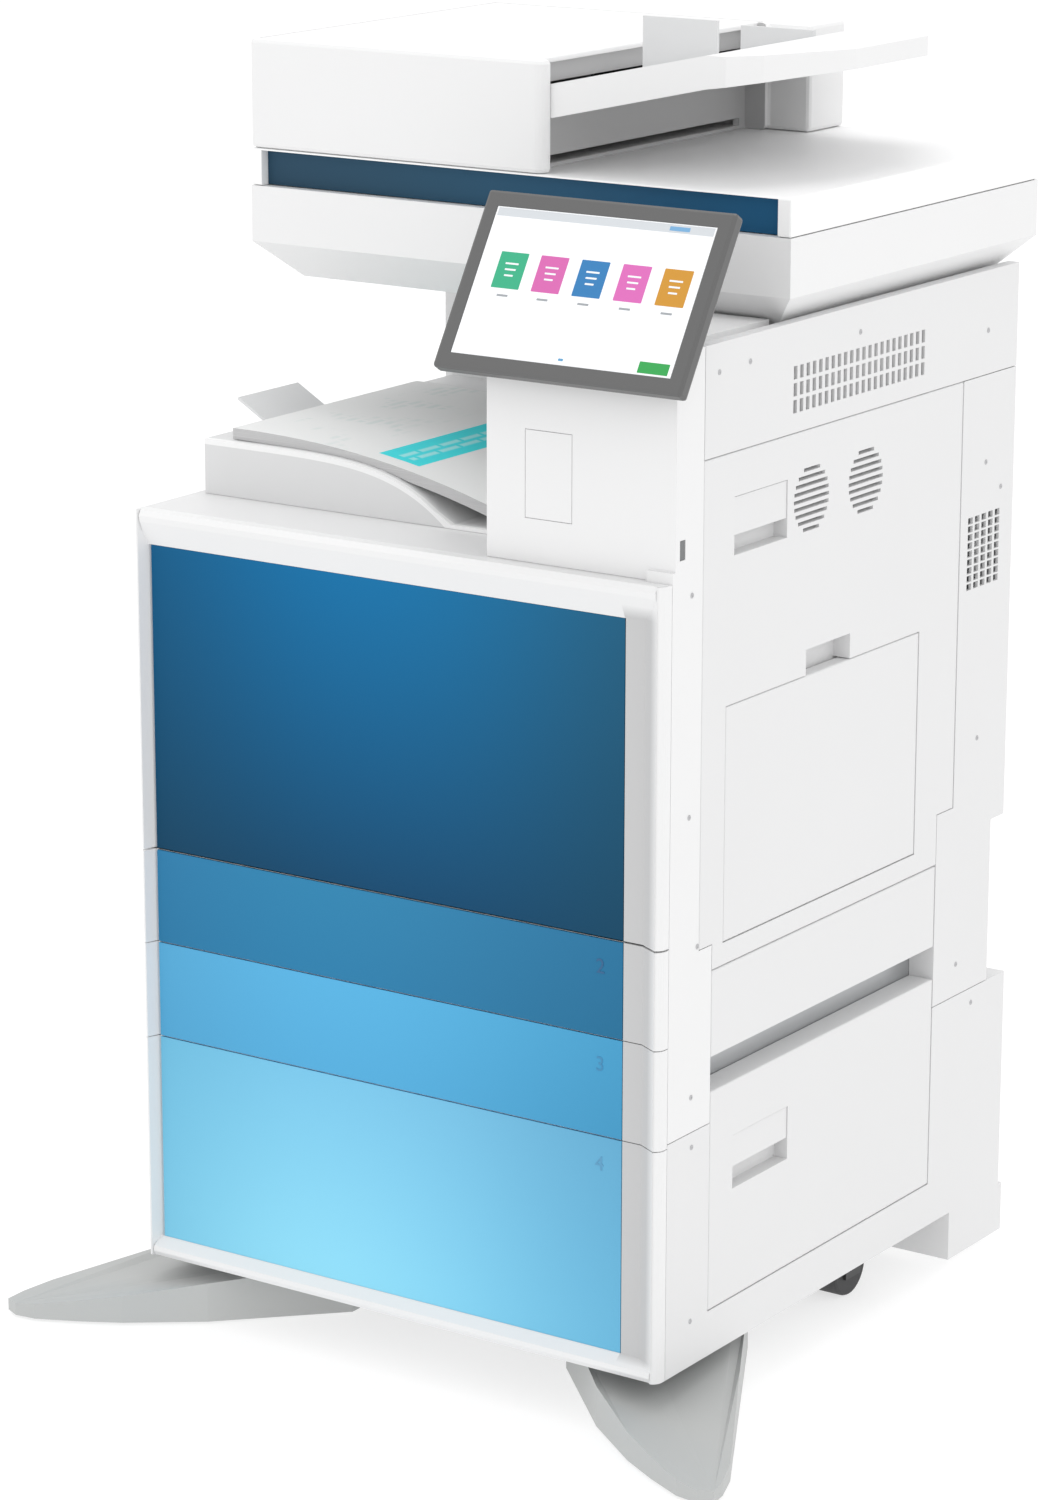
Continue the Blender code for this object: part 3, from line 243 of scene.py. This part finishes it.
def product(mat, *factors):
    """Product of any number of masks."""
    result = factors[0]
    for factor in factors[1:]:
        times = node(mat, "ShaderNodeMath", operation="MULTIPLY")
        link(mat, result, times.inputs[0])
        link(mat, factor, times.inputs[1])
        result = times.outputs[0]
    return result


def blend(mat, mask, base, top):
    """Colour that goes from base to top by a mask. Either may be a colour or a node output."""
    mix = node(mat, "ShaderNodeMix", data_type="RGBA")
    link(mat, mask, mix.inputs["Factor"])
    for given, socket in ((base, mix.inputs[6]), (top, mix.inputs[7])):
        if isinstance(given, tuple):
            socket.default_value = (*given, 1.0)
        else:
            link(mat, given, socket)
    return mix.outputs[2]


front_white, front_grain = moulded("front_white", COVER)
strip_start, strip_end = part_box("front_door_panel")[1].x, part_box("front_door")[1].x - 0.006
strip_top, strip_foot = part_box("front_door_panel")[1].z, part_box("tray_4_panel")[0].z
spot = position(front_white)
# painted shade on the flat strip and the slope to the right of the panels
groove_shade = product(front_white, fade(front_white, spot["X"], strip_start - 0.0005, strip_start + 0.0005),
                fade(front_white, spot["X"], strip_end + 0.0020, strip_end - 0.0100),
                fade(front_white, spot["Z"], strip_top + 0.0140, strip_top + 0.0020),
                fade(front_white, spot["Z"], strip_foot - 0.0060, strip_foot))
link(front_white, blend(front_white, groove_shade, COVER, (0.52, 0.52, 0.523)), front_grain.inputs["Colour"])
dress(front_white, "front_door", "tray_2_front", "tray_3_front", "tray_4_front")


# ---- feeder body --------------------------------------------------------------------------------
# The feeder is moulded in the cover white. The walls of its open mouth, under and behind the
# document tray, are painted greyer, as shade for the inside of the mouth.
feeder_white, feeder_grain = moulded("feeder_white", COVER)
tower_reach = 0.048       # how far the feeder's rear end runs on past the mouth
mouth_reach = 0.0235      # depth of the mouth in X, with a margin of half a millimetre
edge = 0.0007
mouth_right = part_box("feeder_body")[1].x - tower_reach
mouth_front, mouth_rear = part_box("document_tray")[0].y - edge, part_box("document_tray")[1].y + edge
spot = position(feeder_white)
# painted shade on the walls of the mouth
mouth_shade = product(feeder_white, fade(feeder_white, spot["X"], mouth_right - mouth_reach - edge,
                                   mouth_right - mouth_reach),
                fade(feeder_white, spot["X"], mouth_right + edge / 2, mouth_right - edge / 2),
                within(feeder_white, spot["Y"], mouth_front - edge / 2, mouth_rear + edge / 2, edge / 2))
link(feeder_white, blend(feeder_white, mouth_shade, COVER, (0.50, 0.50, 0.503)), feeder_grain.inputs["Colour"])
dress(feeder_white, "feeder_body")


# ---- blue fronts --------------------------------------------------------------------------------
# Satin panels let into the white door and drawer fronts. Each is printed with a soft blend
# that is deepest at its edges, and the colour steps paler from the door down to the lowest drawer.
def srgb(*levels):
    return tuple(((v / 255 + 0.055) / 1.055) ** 2.4 if v > 10 else v / 255 / 12.92 for v in levels)


def blended_panel(name, panel, top_stops, bottom_stops):
    """Blend across X at the top and at the bottom of the panel, mixed by height."""
    low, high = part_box(panel)
    mat, grain = moulded(name, top_stops[0], 0.46, 1800.0, 0.02, 0.03)
    mat.node_tree.nodes["Principled BSDF"].inputs["Specular IOR Level"].default_value = 0.12
    spot = position(mat)
    across, height = fade(mat, spot["X"], low.x, high.x), fade(mat, spot["Z"], low.z, high.z)
    ramps = []
    for stops in (bottom_stops, top_stops):
        ramp = node(mat, "ShaderNodeValToRGB")
        ramp.color_ramp.interpolation = "B_SPLINE"
        elements = ramp.color_ramp.elements
        while len(elements) < len(stops):
            elements.new(0.5)
        for i in range(len(stops)):
            elements[i].position = i / (len(stops) - 1)
        for element, colour in zip(elements, stops):
            element.color = (*colour, 1.0)
        link(mat, across, ramp.inputs["Fac"])
        ramps.append(ramp.outputs["Color"])
    link(mat, blend(mat, height, *ramps), grain.inputs["Colour"])
    dress(mat, panel)


blended_panel("door_blue", "front_door_panel",
              [srgb(10, 82, 122), srgb(8, 110, 164), srgb(16, 110, 160), srgb(30, 86, 114)],
              [srgb(8, 62, 90), srgb(6, 68, 104), srgb(10, 70, 108), srgb(14, 66, 92)])
blended_panel("tray_2_blue", "tray_2_panel",
              [srgb(44, 118, 162), srgb(46, 130, 172), srgb(48, 124, 166), srgb(40, 110, 150)],
              [srgb(40, 114, 156), srgb(42, 124, 168), srgb(44, 118, 160), srgb(36, 106, 144)])
blended_panel("tray_3_blue", "tray_3_panel",
              [srgb(82, 160, 202), srgb(88, 176, 222), srgb(84, 170, 214), srgb(68, 150, 192)],
              [srgb(78, 156, 198), srgb(84, 170, 216), srgb(80, 164, 208), srgb(64, 144, 186)])
blended_panel("tray_4_blue", "tray_4_panel",
              [srgb(104, 178, 210), srgb(122, 196, 230), srgb(116, 186, 220), srgb(94, 162, 198)],
              [srgb(116, 190, 220), srgb(150, 224, 246), srgb(130, 206, 236), srgb(100, 174, 210)])
# Painted shade: the blue liner of the lid's handle recess is darker to the left and at the bottom, standing
# in for shade in the recess.
blended_panel("band_blue", "lid_handle_band",
              [srgb(44, 73, 94), srgb(44, 79, 102), srgb(38, 84, 115), srgb(32, 89, 129)],
              [srgb(40, 67, 86), srgb(40, 73, 94), srgb(36, 80, 109), srgb(30, 85, 123)])


# ---- drawer numerals ----------------------------------------------------------------------------
# Shallow numerals moulded proud of the drawer panels, a shade deeper than the panel behind them.
numeral_height = 0.014
numeral_rise = 0.0003
numeral_x = 0.2229
numeral_drop = 0.0262    # from the panel's top edge to the numeral's middle
font_per_height = 1.4    # font size that gives a numeral of unit height
for number, shade in ((2, (30, 90, 134)), (3, (52, 132, 176)), (4, (84, 150, 188))):
    low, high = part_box("tray_%d_panel" % number)
    ink, _ = moulded("numeral_%d_blue" % number, srgb(*shade), 0.4)
    curve = bpy.data.curves.new("numeral_%d" % number, "FONT")
    curve.body, curve.size, curve.extrude = str(number), numeral_height * font_per_height, numeral_rise
    curve.align_x, curve.align_y = "CENTER", "CENTER"
    text = bpy.data.objects.new("numeral_%d_outline" % number, curve)
    bpy.context.scene.collection.objects.link(text)
    bpy.context.view_layer.update()
    mesh = bpy.data.meshes.new_from_object(text)
    bpy.data.objects.remove(text, do_unlink=True)
    mesh.transform(Matrix.Translation((numeral_x, low.y, high.z - numeral_drop))
                   @ Matrix.Rotation(math.radians(90), 4, "X"))
    mesh.materials.clear()
    mesh.materials.append(ink)
    numeral = bpy.data.objects.new("tray_%d_numeral" % number, mesh)
    bpy.context.scene.collection.objects.link(numeral)
    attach(numeral, "tray_%d" % number)


# ---- touch panel --------------------------------------------------------------------------------
# A satin dark-grey bezel round a lit display. The display shows a plain generic menu: a header
# strip, five coloured tiles with simple marks, and a start button. No words are drawn.
bezel, _ = moulded("bezel_grey", srgb(92, 92, 92), 0.38)
dress(bezel, "touch_panel")


def lit(name, colour, strength):
    mat, grain = moulded(name, colour, 0.22, drift=0.01, bump=0.0)
    shader = mat.node_tree.nodes["Principled BSDF"]
    link(mat, grain.outputs["Colour"], shader.inputs["Emission Color"])
    shader.inputs["Emission Strength"].default_value = strength
    return mat


dress(lit("display_white", (0.80, 0.81, 0.83), 0.18), "touch_screen")
tilt = math.radians(31.6)        # the display's lean back from upright
lean, facing = Vector((0, math.sin(tilt), math.cos(tilt))), Vector((0, -math.cos(tilt), math.sin(tilt)))
screen_points = [v.co.copy() for v in nodes["touch_screen"].data.vertices]
face_out = max(p.dot(facing) for p in screen_points)
up_low, up_high = min(p.dot(lean) for p in screen_points), max(p.dot(lean) for p in screen_points)
left, right = min(p.x for p in screen_points), max(p.x for p in screen_points)


def thicken(bm, step):
    """Closes a flat sheet of faces into a plate, with a copy of it moved by a step.

    The faces are made one by one, so their order is the same on every run.
    """
    sheet, rims = bm.faces[:], [edge for edge in bm.edges if edge.is_boundary]
    moved = {vert: bm.verts.new(vert.co + Vector(step)) for vert in bm.verts[:]}
    for face in sheet:
        bm.faces.new([moved[vert] for vert in reversed(face.verts[:])])
    for rim in rims:
        start, end = rim.verts
        bm.faces.new((start, end, moved[end], moved[start]))


def on_display(name, u, v, wide, high, mat, corner=0.0012, rise=0.00012):
    """Thin rounded plate on the display. u and v run from 0 to 1, from the left and from the top."""
    centre = Vector((left + u * (right - left), 0, 0)) + lean * (up_high - v * (up_high - up_low)) \
        + facing * (face_out + rise)
    bm = bmesh.new()
    ring = []
    for cx, cz, start in ((1, 1, 0), (-1, 1, 90), (-1, -1, 180), (1, -1, 270)):
        for step in range(5):
            a = math.radians(start + step * 22.5)
            across = cx * (wide / 2 - corner) + corner * math.cos(a)
            up = cz * (high / 2 - corner) + corner * math.sin(a)
            ring.append(bm.verts.new(centre + Vector((across, 0, 0)) + lean * up))
    bm.faces.new(ring)
    thicken(bm, -facing * rise * 0.9)
    bmesh.ops.recalc_face_normals(bm, faces=bm.faces)
    plate = mesh_object(name, bm, mat)
    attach(plate, "touch_panel")
    return plate


display_width, display_height = right - left, up_high - up_low
on_display("display_header", 0.5, 0.035, display_width * 0.985, display_height * 0.055,
           lit("header_grey", srgb(196, 200, 204), 0.1), 0.0004)
on_display("display_header_mark", 0.84, 0.035, display_width * 0.09, display_height * 0.028,
           lit("header_blue", srgb(110, 160, 200), 0.1), 0.0004, 0.00024)
tiles = (("green", 0.148, (44, 160, 120)), ("rose", 0.333, (196, 92, 160)), ("blue", 0.520, (36, 112, 168)),
         ("pink", 0.708, (200, 96, 168)), ("gold", 0.895, (190, 134, 36)))
tile_mark = lit("tile_mark", (0.75, 0.78, 0.80), 0.1)
for label, u, shade in tiles:
    on_display("tile_" + label, u, 0.42, display_width * 0.128, display_height * 0.245,
               lit("tile_" + label, srgb(*shade), 0.15), 0.0008)
    for row in range(3):
        on_display("tile_%s_mark_%d" % (label, row), u, 0.375 + 0.04 * row,
                   display_width * (0.06 - 0.01 * row), display_height * 0.012, tile_mark, 0.0004, 0.00026)
    on_display("tile_%s_caption" % label, u, 0.59, display_width * 0.05, display_height * 0.014,
               lit("caption_" + label, srgb(150, 154, 158), 0.1), 0.0004)
on_display("start_button", 0.915, 0.95, display_width * 0.135, display_height * 0.075,
           lit("start_green", srgb(40, 150, 70), 0.15), 0.0006)
on_display("page_mark", 0.5, 0.965, display_width * 0.022, display_height * 0.016,
           lit("page_blue", srgb(90, 150, 190), 0.1), 0.0006)


# ---- glass, metal and rubber --------------------------------------------------------------------
# Float glass over the scanner, zinc-plated folded steel for the chassis, black caster forks, and
# matt rubber tyres and pickup roller. The rear forks, welded under the chassis, are black as well.
glass = principled("platen_glass", (0.80, 0.86, 0.85), 0.05)
glass_shader = glass.node_tree.nodes["Principled BSDF"]
glass_shader.inputs["Alpha"].default_value = 0.35
smear, smear_range = node(glass, "ShaderNodeTexNoise"), node(glass, "ShaderNodeMapRange")
smear.inputs["Scale"].default_value = 14.0
smear_range.inputs["To Min"].default_value, smear_range.inputs["To Max"].default_value = 0.03, 0.11
link(glass, smear.outputs["Fac"], smear_range.inputs["Value"])
link(glass, smear_range.outputs["Result"], glass_shader.inputs["Roughness"])
dress(glass, "platen_glass")
BRIGHT_ZINC, FORK_BLACK, RUBBER = (0.55, 0.56, 0.57), (0.03, 0.03, 0.032), (0.05, 0.05, 0.052)
paint_top = 0.0735       # the welded forks are painted up to here, just under the chassis floor
metal = 0.9
zinc, zinc_grain = moulded("zinc_plated_steel", BRIGHT_ZINC, 0.38, 60.0, 0.25, 0.02, metal)
spot = position(zinc)
painted = fade(zinc, spot["Z"], paint_top, paint_top - 0.001)
link(zinc, blend(zinc, painted, BRIGHT_ZINC, FORK_BLACK), zinc_grain.inputs["Colour"])
link(zinc, blend(zinc, painted, (metal, metal, metal), (0.0, 0.0, 0.0)),
     zinc.node_tree.nodes["Principled BSDF"].inputs["Metallic"])
dress(zinc, "chassis")
fork_black, _ = moulded("fork_black", FORK_BLACK, 0.45)
dress(fork_black, "front_caster_left_fork", "front_caster_right_fork")
tyre, _ = moulded("tyre_rubber", RUBBER, 0.7, 900.0, 0.3, 0.2)
dress(tyre, "front_caster_left_wheel", "front_caster_right_wheel", "rear_caster_left_wheel",
      "rear_caster_right_wheel")
roller, roller_grain = moulded("roller_rubber", RUBBER, 0.6, 900.0, 0.2, 0.1)
roller_low, roller_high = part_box("pickup_roller")
tyre_half = 0.0352       # half the length of the rubber on its pale plastic shaft
middle = (roller_low.y + roller_high.y) / 2
spot = position(roller)
on_tyre = within(roller, spot["Y"], middle - tyre_half, middle + tyre_half, 0.0001)
link(roller, blend(roller, on_tyre, (0.62, 0.62, 0.62), RUBBER), roller_grain.inputs["Colour"])
dress(roller, "pickup_roller")
for toner, shade in (("yellow", (0.75, 0.58, 0.04)), ("magenta", (0.55, 0.04, 0.22)),
                     ("cyan", (0.03, 0.36, 0.58)), ("black", (0.025, 0.025, 0.025))):
    dress(moulded("toner_" + toner, shade, 0.45)[0], "toner_cartridge_" + toner)


# ---- printed sheets -----------------------------------------------------------------------------
# A loose stack of uncoated sheets. Their cut edges show fine layers, painted grey as shade on that face.
# The top sheet has a plain cyan band across it, short of its front edge, with a few paler blocks where text
# would be.
band_low, band_high = -0.101, -0.055
text_column, band_column = (-0.235, -0.125), (-0.090, -0.067)
sheet_white, cyan = (0.80, 0.805, 0.80), srgb(58, 218, 224)
paper, sheet_grain = moulded("printed_paper", sheet_white, 0.85, 700.0, 0.03, 0.05)
sheets_low, sheets_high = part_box("printed_sheets")
spot = position(paper)
band_front = sheets_low.y + 0.020
on_band = product(paper, within(paper, spot["X"], band_low, band_high, 0.0003),
                  fade(paper, spot["Y"], band_front, band_front + 0.0004))
rows = node(paper, "ShaderNodeTexBrick")
rows.inputs["Scale"].default_value = 1.0
for label, value in (("Mortar Size", 0.0042), ("Brick Width", 0.034), ("Row Height", 0.011)):
    rows.inputs[label].default_value = value
rows.inputs["Mortar Smooth"].default_value = 0.8
turned = node(paper, "ShaderNodeMapping")
turned.inputs["Rotation"].default_value = (0.0, 0.0, math.pi / 2)
where = node(paper, "ShaderNodeTexCoord")
link(paper, where.outputs["Object"], turned.inputs["Vector"])
link(paper, turned.outputs["Vector"], rows.inputs["Vector"])
text = node(paper, "ShaderNodeMath", operation="SUBTRACT")
text.inputs[0].default_value = 1.0
link(paper, rows.outputs["Fac"], text.inputs[1])
patches = node(paper, "ShaderNodeTexNoise")
patches.inputs["Scale"].default_value = 22.0
link(paper, where.outputs["Object"], patches.inputs["Vector"])
inked = product(paper, text.outputs[0], within(paper, spot["X"], *text_column, 0.005),
                fade(paper, patches.outputs["Fac"], 0.52, 0.62))
band_text = product(paper, text.outputs[0], within(paper, spot["X"], *band_column, 0.001),
                    fade(paper, spot["Y"], band_front + 0.010, band_front + 0.011))
plain = blend(paper, inked, sheet_white, (0.70, 0.745, 0.735))
printed = blend(paper, on_band, plain, blend(paper, band_text, cyan, (0.34, 0.78, 0.80)))
layers, stretch = node(paper, "ShaderNodeTexNoise"), node(paper, "ShaderNodeMapping")
stretch.inputs["Scale"].default_value = (6.0, 6.0, 2600.0)
link(paper, where.outputs["Object"], stretch.inputs["Vector"])
link(paper, stretch.outputs["Vector"], layers.inputs["Vector"])
layers.inputs["Scale"].default_value = 1.0
# painted shade: the cut edges are grey layers, darker than the sheets
shaded_cut_edge = blend(paper, layers.outputs["Fac"], (0.36, 0.36, 0.365), (0.66, 0.66, 0.66))
upper_face = within(paper, spot["Y"], sheets_low.y + 0.0002, sheets_high.y - 0.0002, 0.0002)
link(paper, blend(paper, upper_face, shaded_cut_edge, printed), sheet_grain.inputs["Colour"])
dress(paper, "printed_sheets")


# ---- output tray --------------------------------------------------------------------------------
# The tray is painted a shade greyer than the covers, as shade under the scanner, with a painted
# highlight on a rolled lip that follows the curve of its upper edge along the front.
SHADED_TRAY = (0.68, 0.682, 0.685)
tray_white, tray_grain = moulded("output_tray_white", SHADED_TRAY, 0.5)
tray_low, tray_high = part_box("output_tray")
ramp_run, ramp_drop, lip_height = 0.279, 0.0488, 0.0050
spot = position(tray_white)
bend = node(tray_white, "ShaderNodeMath", operation="POWER")
bend.inputs[1].default_value = 5.0
link(tray_white, fade(tray_white, spot["X"], tray_low.x, tray_low.x + ramp_run), bend.inputs[0])
levelled = node(tray_white, "ShaderNodeMath", operation="MULTIPLY_ADD")
levelled.inputs[1].default_value = ramp_drop
link(tray_white, bend.outputs[0], levelled.inputs[0])
link(tray_white, spot["Z"], levelled.inputs[2])
lip_foot = tray_high.z - lip_height
# painted highlight along the top of the lip
lip_highlight = product(tray_white, fade(tray_white, levelled.outputs[0], lip_foot - 0.0006, lip_foot),
              fade(tray_white, spot["Y"], tray_low.y + 0.0060, tray_low.y + 0.0050))
link(tray_white, blend(tray_white, lip_highlight, SHADED_TRAY, (0.86, 0.86, 0.86)), tray_grain.inputs["Colour"])
dress(tray_white, "output_tray")


# ---- cover screws -------------------------------------------------------------------------------
# Pan-head screws with a cross recess, standing a little proud of the right-hand covers. Each is
# turned to a different angle, as they are when driven by hand.
screw_radius, screw_rise = 0.0026, 0.0007
screw_sides = 16
recess_wide, recess_narrow = 0.45, 0.14     # the recess's arms and their roots, as shares of the radius
screws = ((0.047, 0.784), (0.046, 0.583), (0.088, 0.975), (0.139, 0.977), (0.330, 0.976), (0.572, 0.943),
          (0.574, 0.815), (0.605, 0.786), (0.571, 0.542), (0.062, 0.460), (0.054, 0.320), (0.056, 0.272),
          (0.057, 0.104), (0.540, 0.319), (0.573, 0.271))
front_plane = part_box("front_door")[0].y
side_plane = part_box("right_door")[1].x
steel_screw, _ = moulded("screw_steel", (0.50, 0.50, 0.51), 0.32, 400.0, 0.1, 0.02, 0.8)
turns = random.Random(7)


def screw_ring(bm, screw_depth, height, turn, rise, radius_at):
    """Ring of vertices round a screw's axis. radius_at gives the radius at each corner."""
    ring = []
    for i in range(screw_sides):
        a, r = turn + math.tau * i / screw_sides, radius_at(i)
        ring.append(bm.verts.new((side_plane + rise, front_plane + screw_depth + r * math.cos(a),
                                  height + r * math.sin(a))))
    return ring


bm = bmesh.new()
for screw_depth, height in screws:
    turn = turns.uniform(0, math.pi / 2)
    rings = [screw_ring(bm, screw_depth, height, turn, screw_rise * up, lambda i: screw_radius * share)
             for share, up in ((1.0, 0.0), (1.0, 0.4), (0.75, 1.0), (recess_wide, 1.0))]
    rings.append(screw_ring(bm, screw_depth, height, turn, screw_rise * 0.15,
                            lambda i: screw_radius * (recess_narrow if i % 4 else recess_wide)))
    for inner, outer in zip(rings[1:], rings[:-1]):
        for i in range(screw_sides):
            after = (i + 1) % screw_sides
            bm.faces.new((outer[i], outer[after], inner[after], inner[i]))
    bm.faces.new(rings[-1])
    bm.faces.new(list(reversed(rings[0])))
bmesh.ops.recalc_face_normals(bm, faces=bm.faces)
screw_set = mesh_object("cover_screws", bm, steel_screw)
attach(screw_set, "machine")


# ---- lid pad ------------------------------------------------------------------------------------
# The thin white backing that presses originals onto the glass, glued under the lid.
pad_inset, pad_thickness = 0.045, 0.0006
lid_low, lid_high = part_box("lid")
bm = bmesh.new()
bmesh.ops.create_grid(bm, x_segments=12, y_segments=12, size=0.5)
for vert in bm.verts:
    vert.co.x *= (lid_high.x - lid_low.x) - 2 * pad_inset
    vert.co.y *= (lid_high.y - lid_low.y) - 2 * pad_inset
thicken(bm, (0, 0, pad_thickness))
bmesh.ops.translate(bm, verts=bm.verts, vec=((lid_low.x + lid_high.x) / 2, (lid_low.y + lid_high.y) / 2,
                                             lid_low.z - pad_thickness))
bmesh.ops.recalc_face_normals(bm, faces=bm.faces)
pad = mesh_object("lid_pad", bm, moulded("pad_white", (0.82, 0.82, 0.81), 0.7, 500.0, 0.03, 0.1)[0])
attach(pad, "lid")


# ---- paper in the drawers -----------------------------------------------------------------------
# A stack of plain sheets in each drawer, squared up by hand, so its edges are slightly ragged.
ragged = random.Random(11)
raggedness, stack_layers = 0.0004, 24
half_width, half_length = 0.297 / 2, 0.420 / 2      # A3 sheets
front_margin, floor_thickness = 0.012, 0.0046
ream_paper, _ = moulded("ream_paper", (0.84, 0.84, 0.83), 0.85, 700.0, 0.03, 0.05)
for number, fill in ((2, 0.040), (3, 0.046), (4, 0.120)):
    low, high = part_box("tray_%d_bin" % number)
    middle_x, middle_y = (low.x + high.x) / 2, low.y + front_margin + half_length
    foot = low.z + floor_thickness
    bm = bmesh.new()
    rings = []
    for layer in range(stack_layers + 1):
        dx, dy = ragged.uniform(-raggedness, raggedness), ragged.uniform(-raggedness, raggedness)
        height = foot + fill * layer / stack_layers
        corners = [(middle_x + sx * half_width + dx, middle_y + sy * half_length + dy, height)
                   for sx, sy in ((-1, -1), (1, -1), (1, 1), (-1, 1))]
        rings.append([bm.verts.new(corner) for corner in corners])
    for lower, upper in zip(rings[:-1], rings[1:]):
        for i in range(4):
            bm.faces.new((lower[i], lower[(i + 1) % 4], upper[(i + 1) % 4], upper[i]))
    bm.faces.new(rings[-1])
    bm.faces.new(list(reversed(rings[0])))
    bmesh.ops.recalc_face_normals(bm, faces=bm.faces)
    ream = mesh_object("tray_%d_ream" % number, bm, ream_paper)
    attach(ream, "tray_%d" % number)
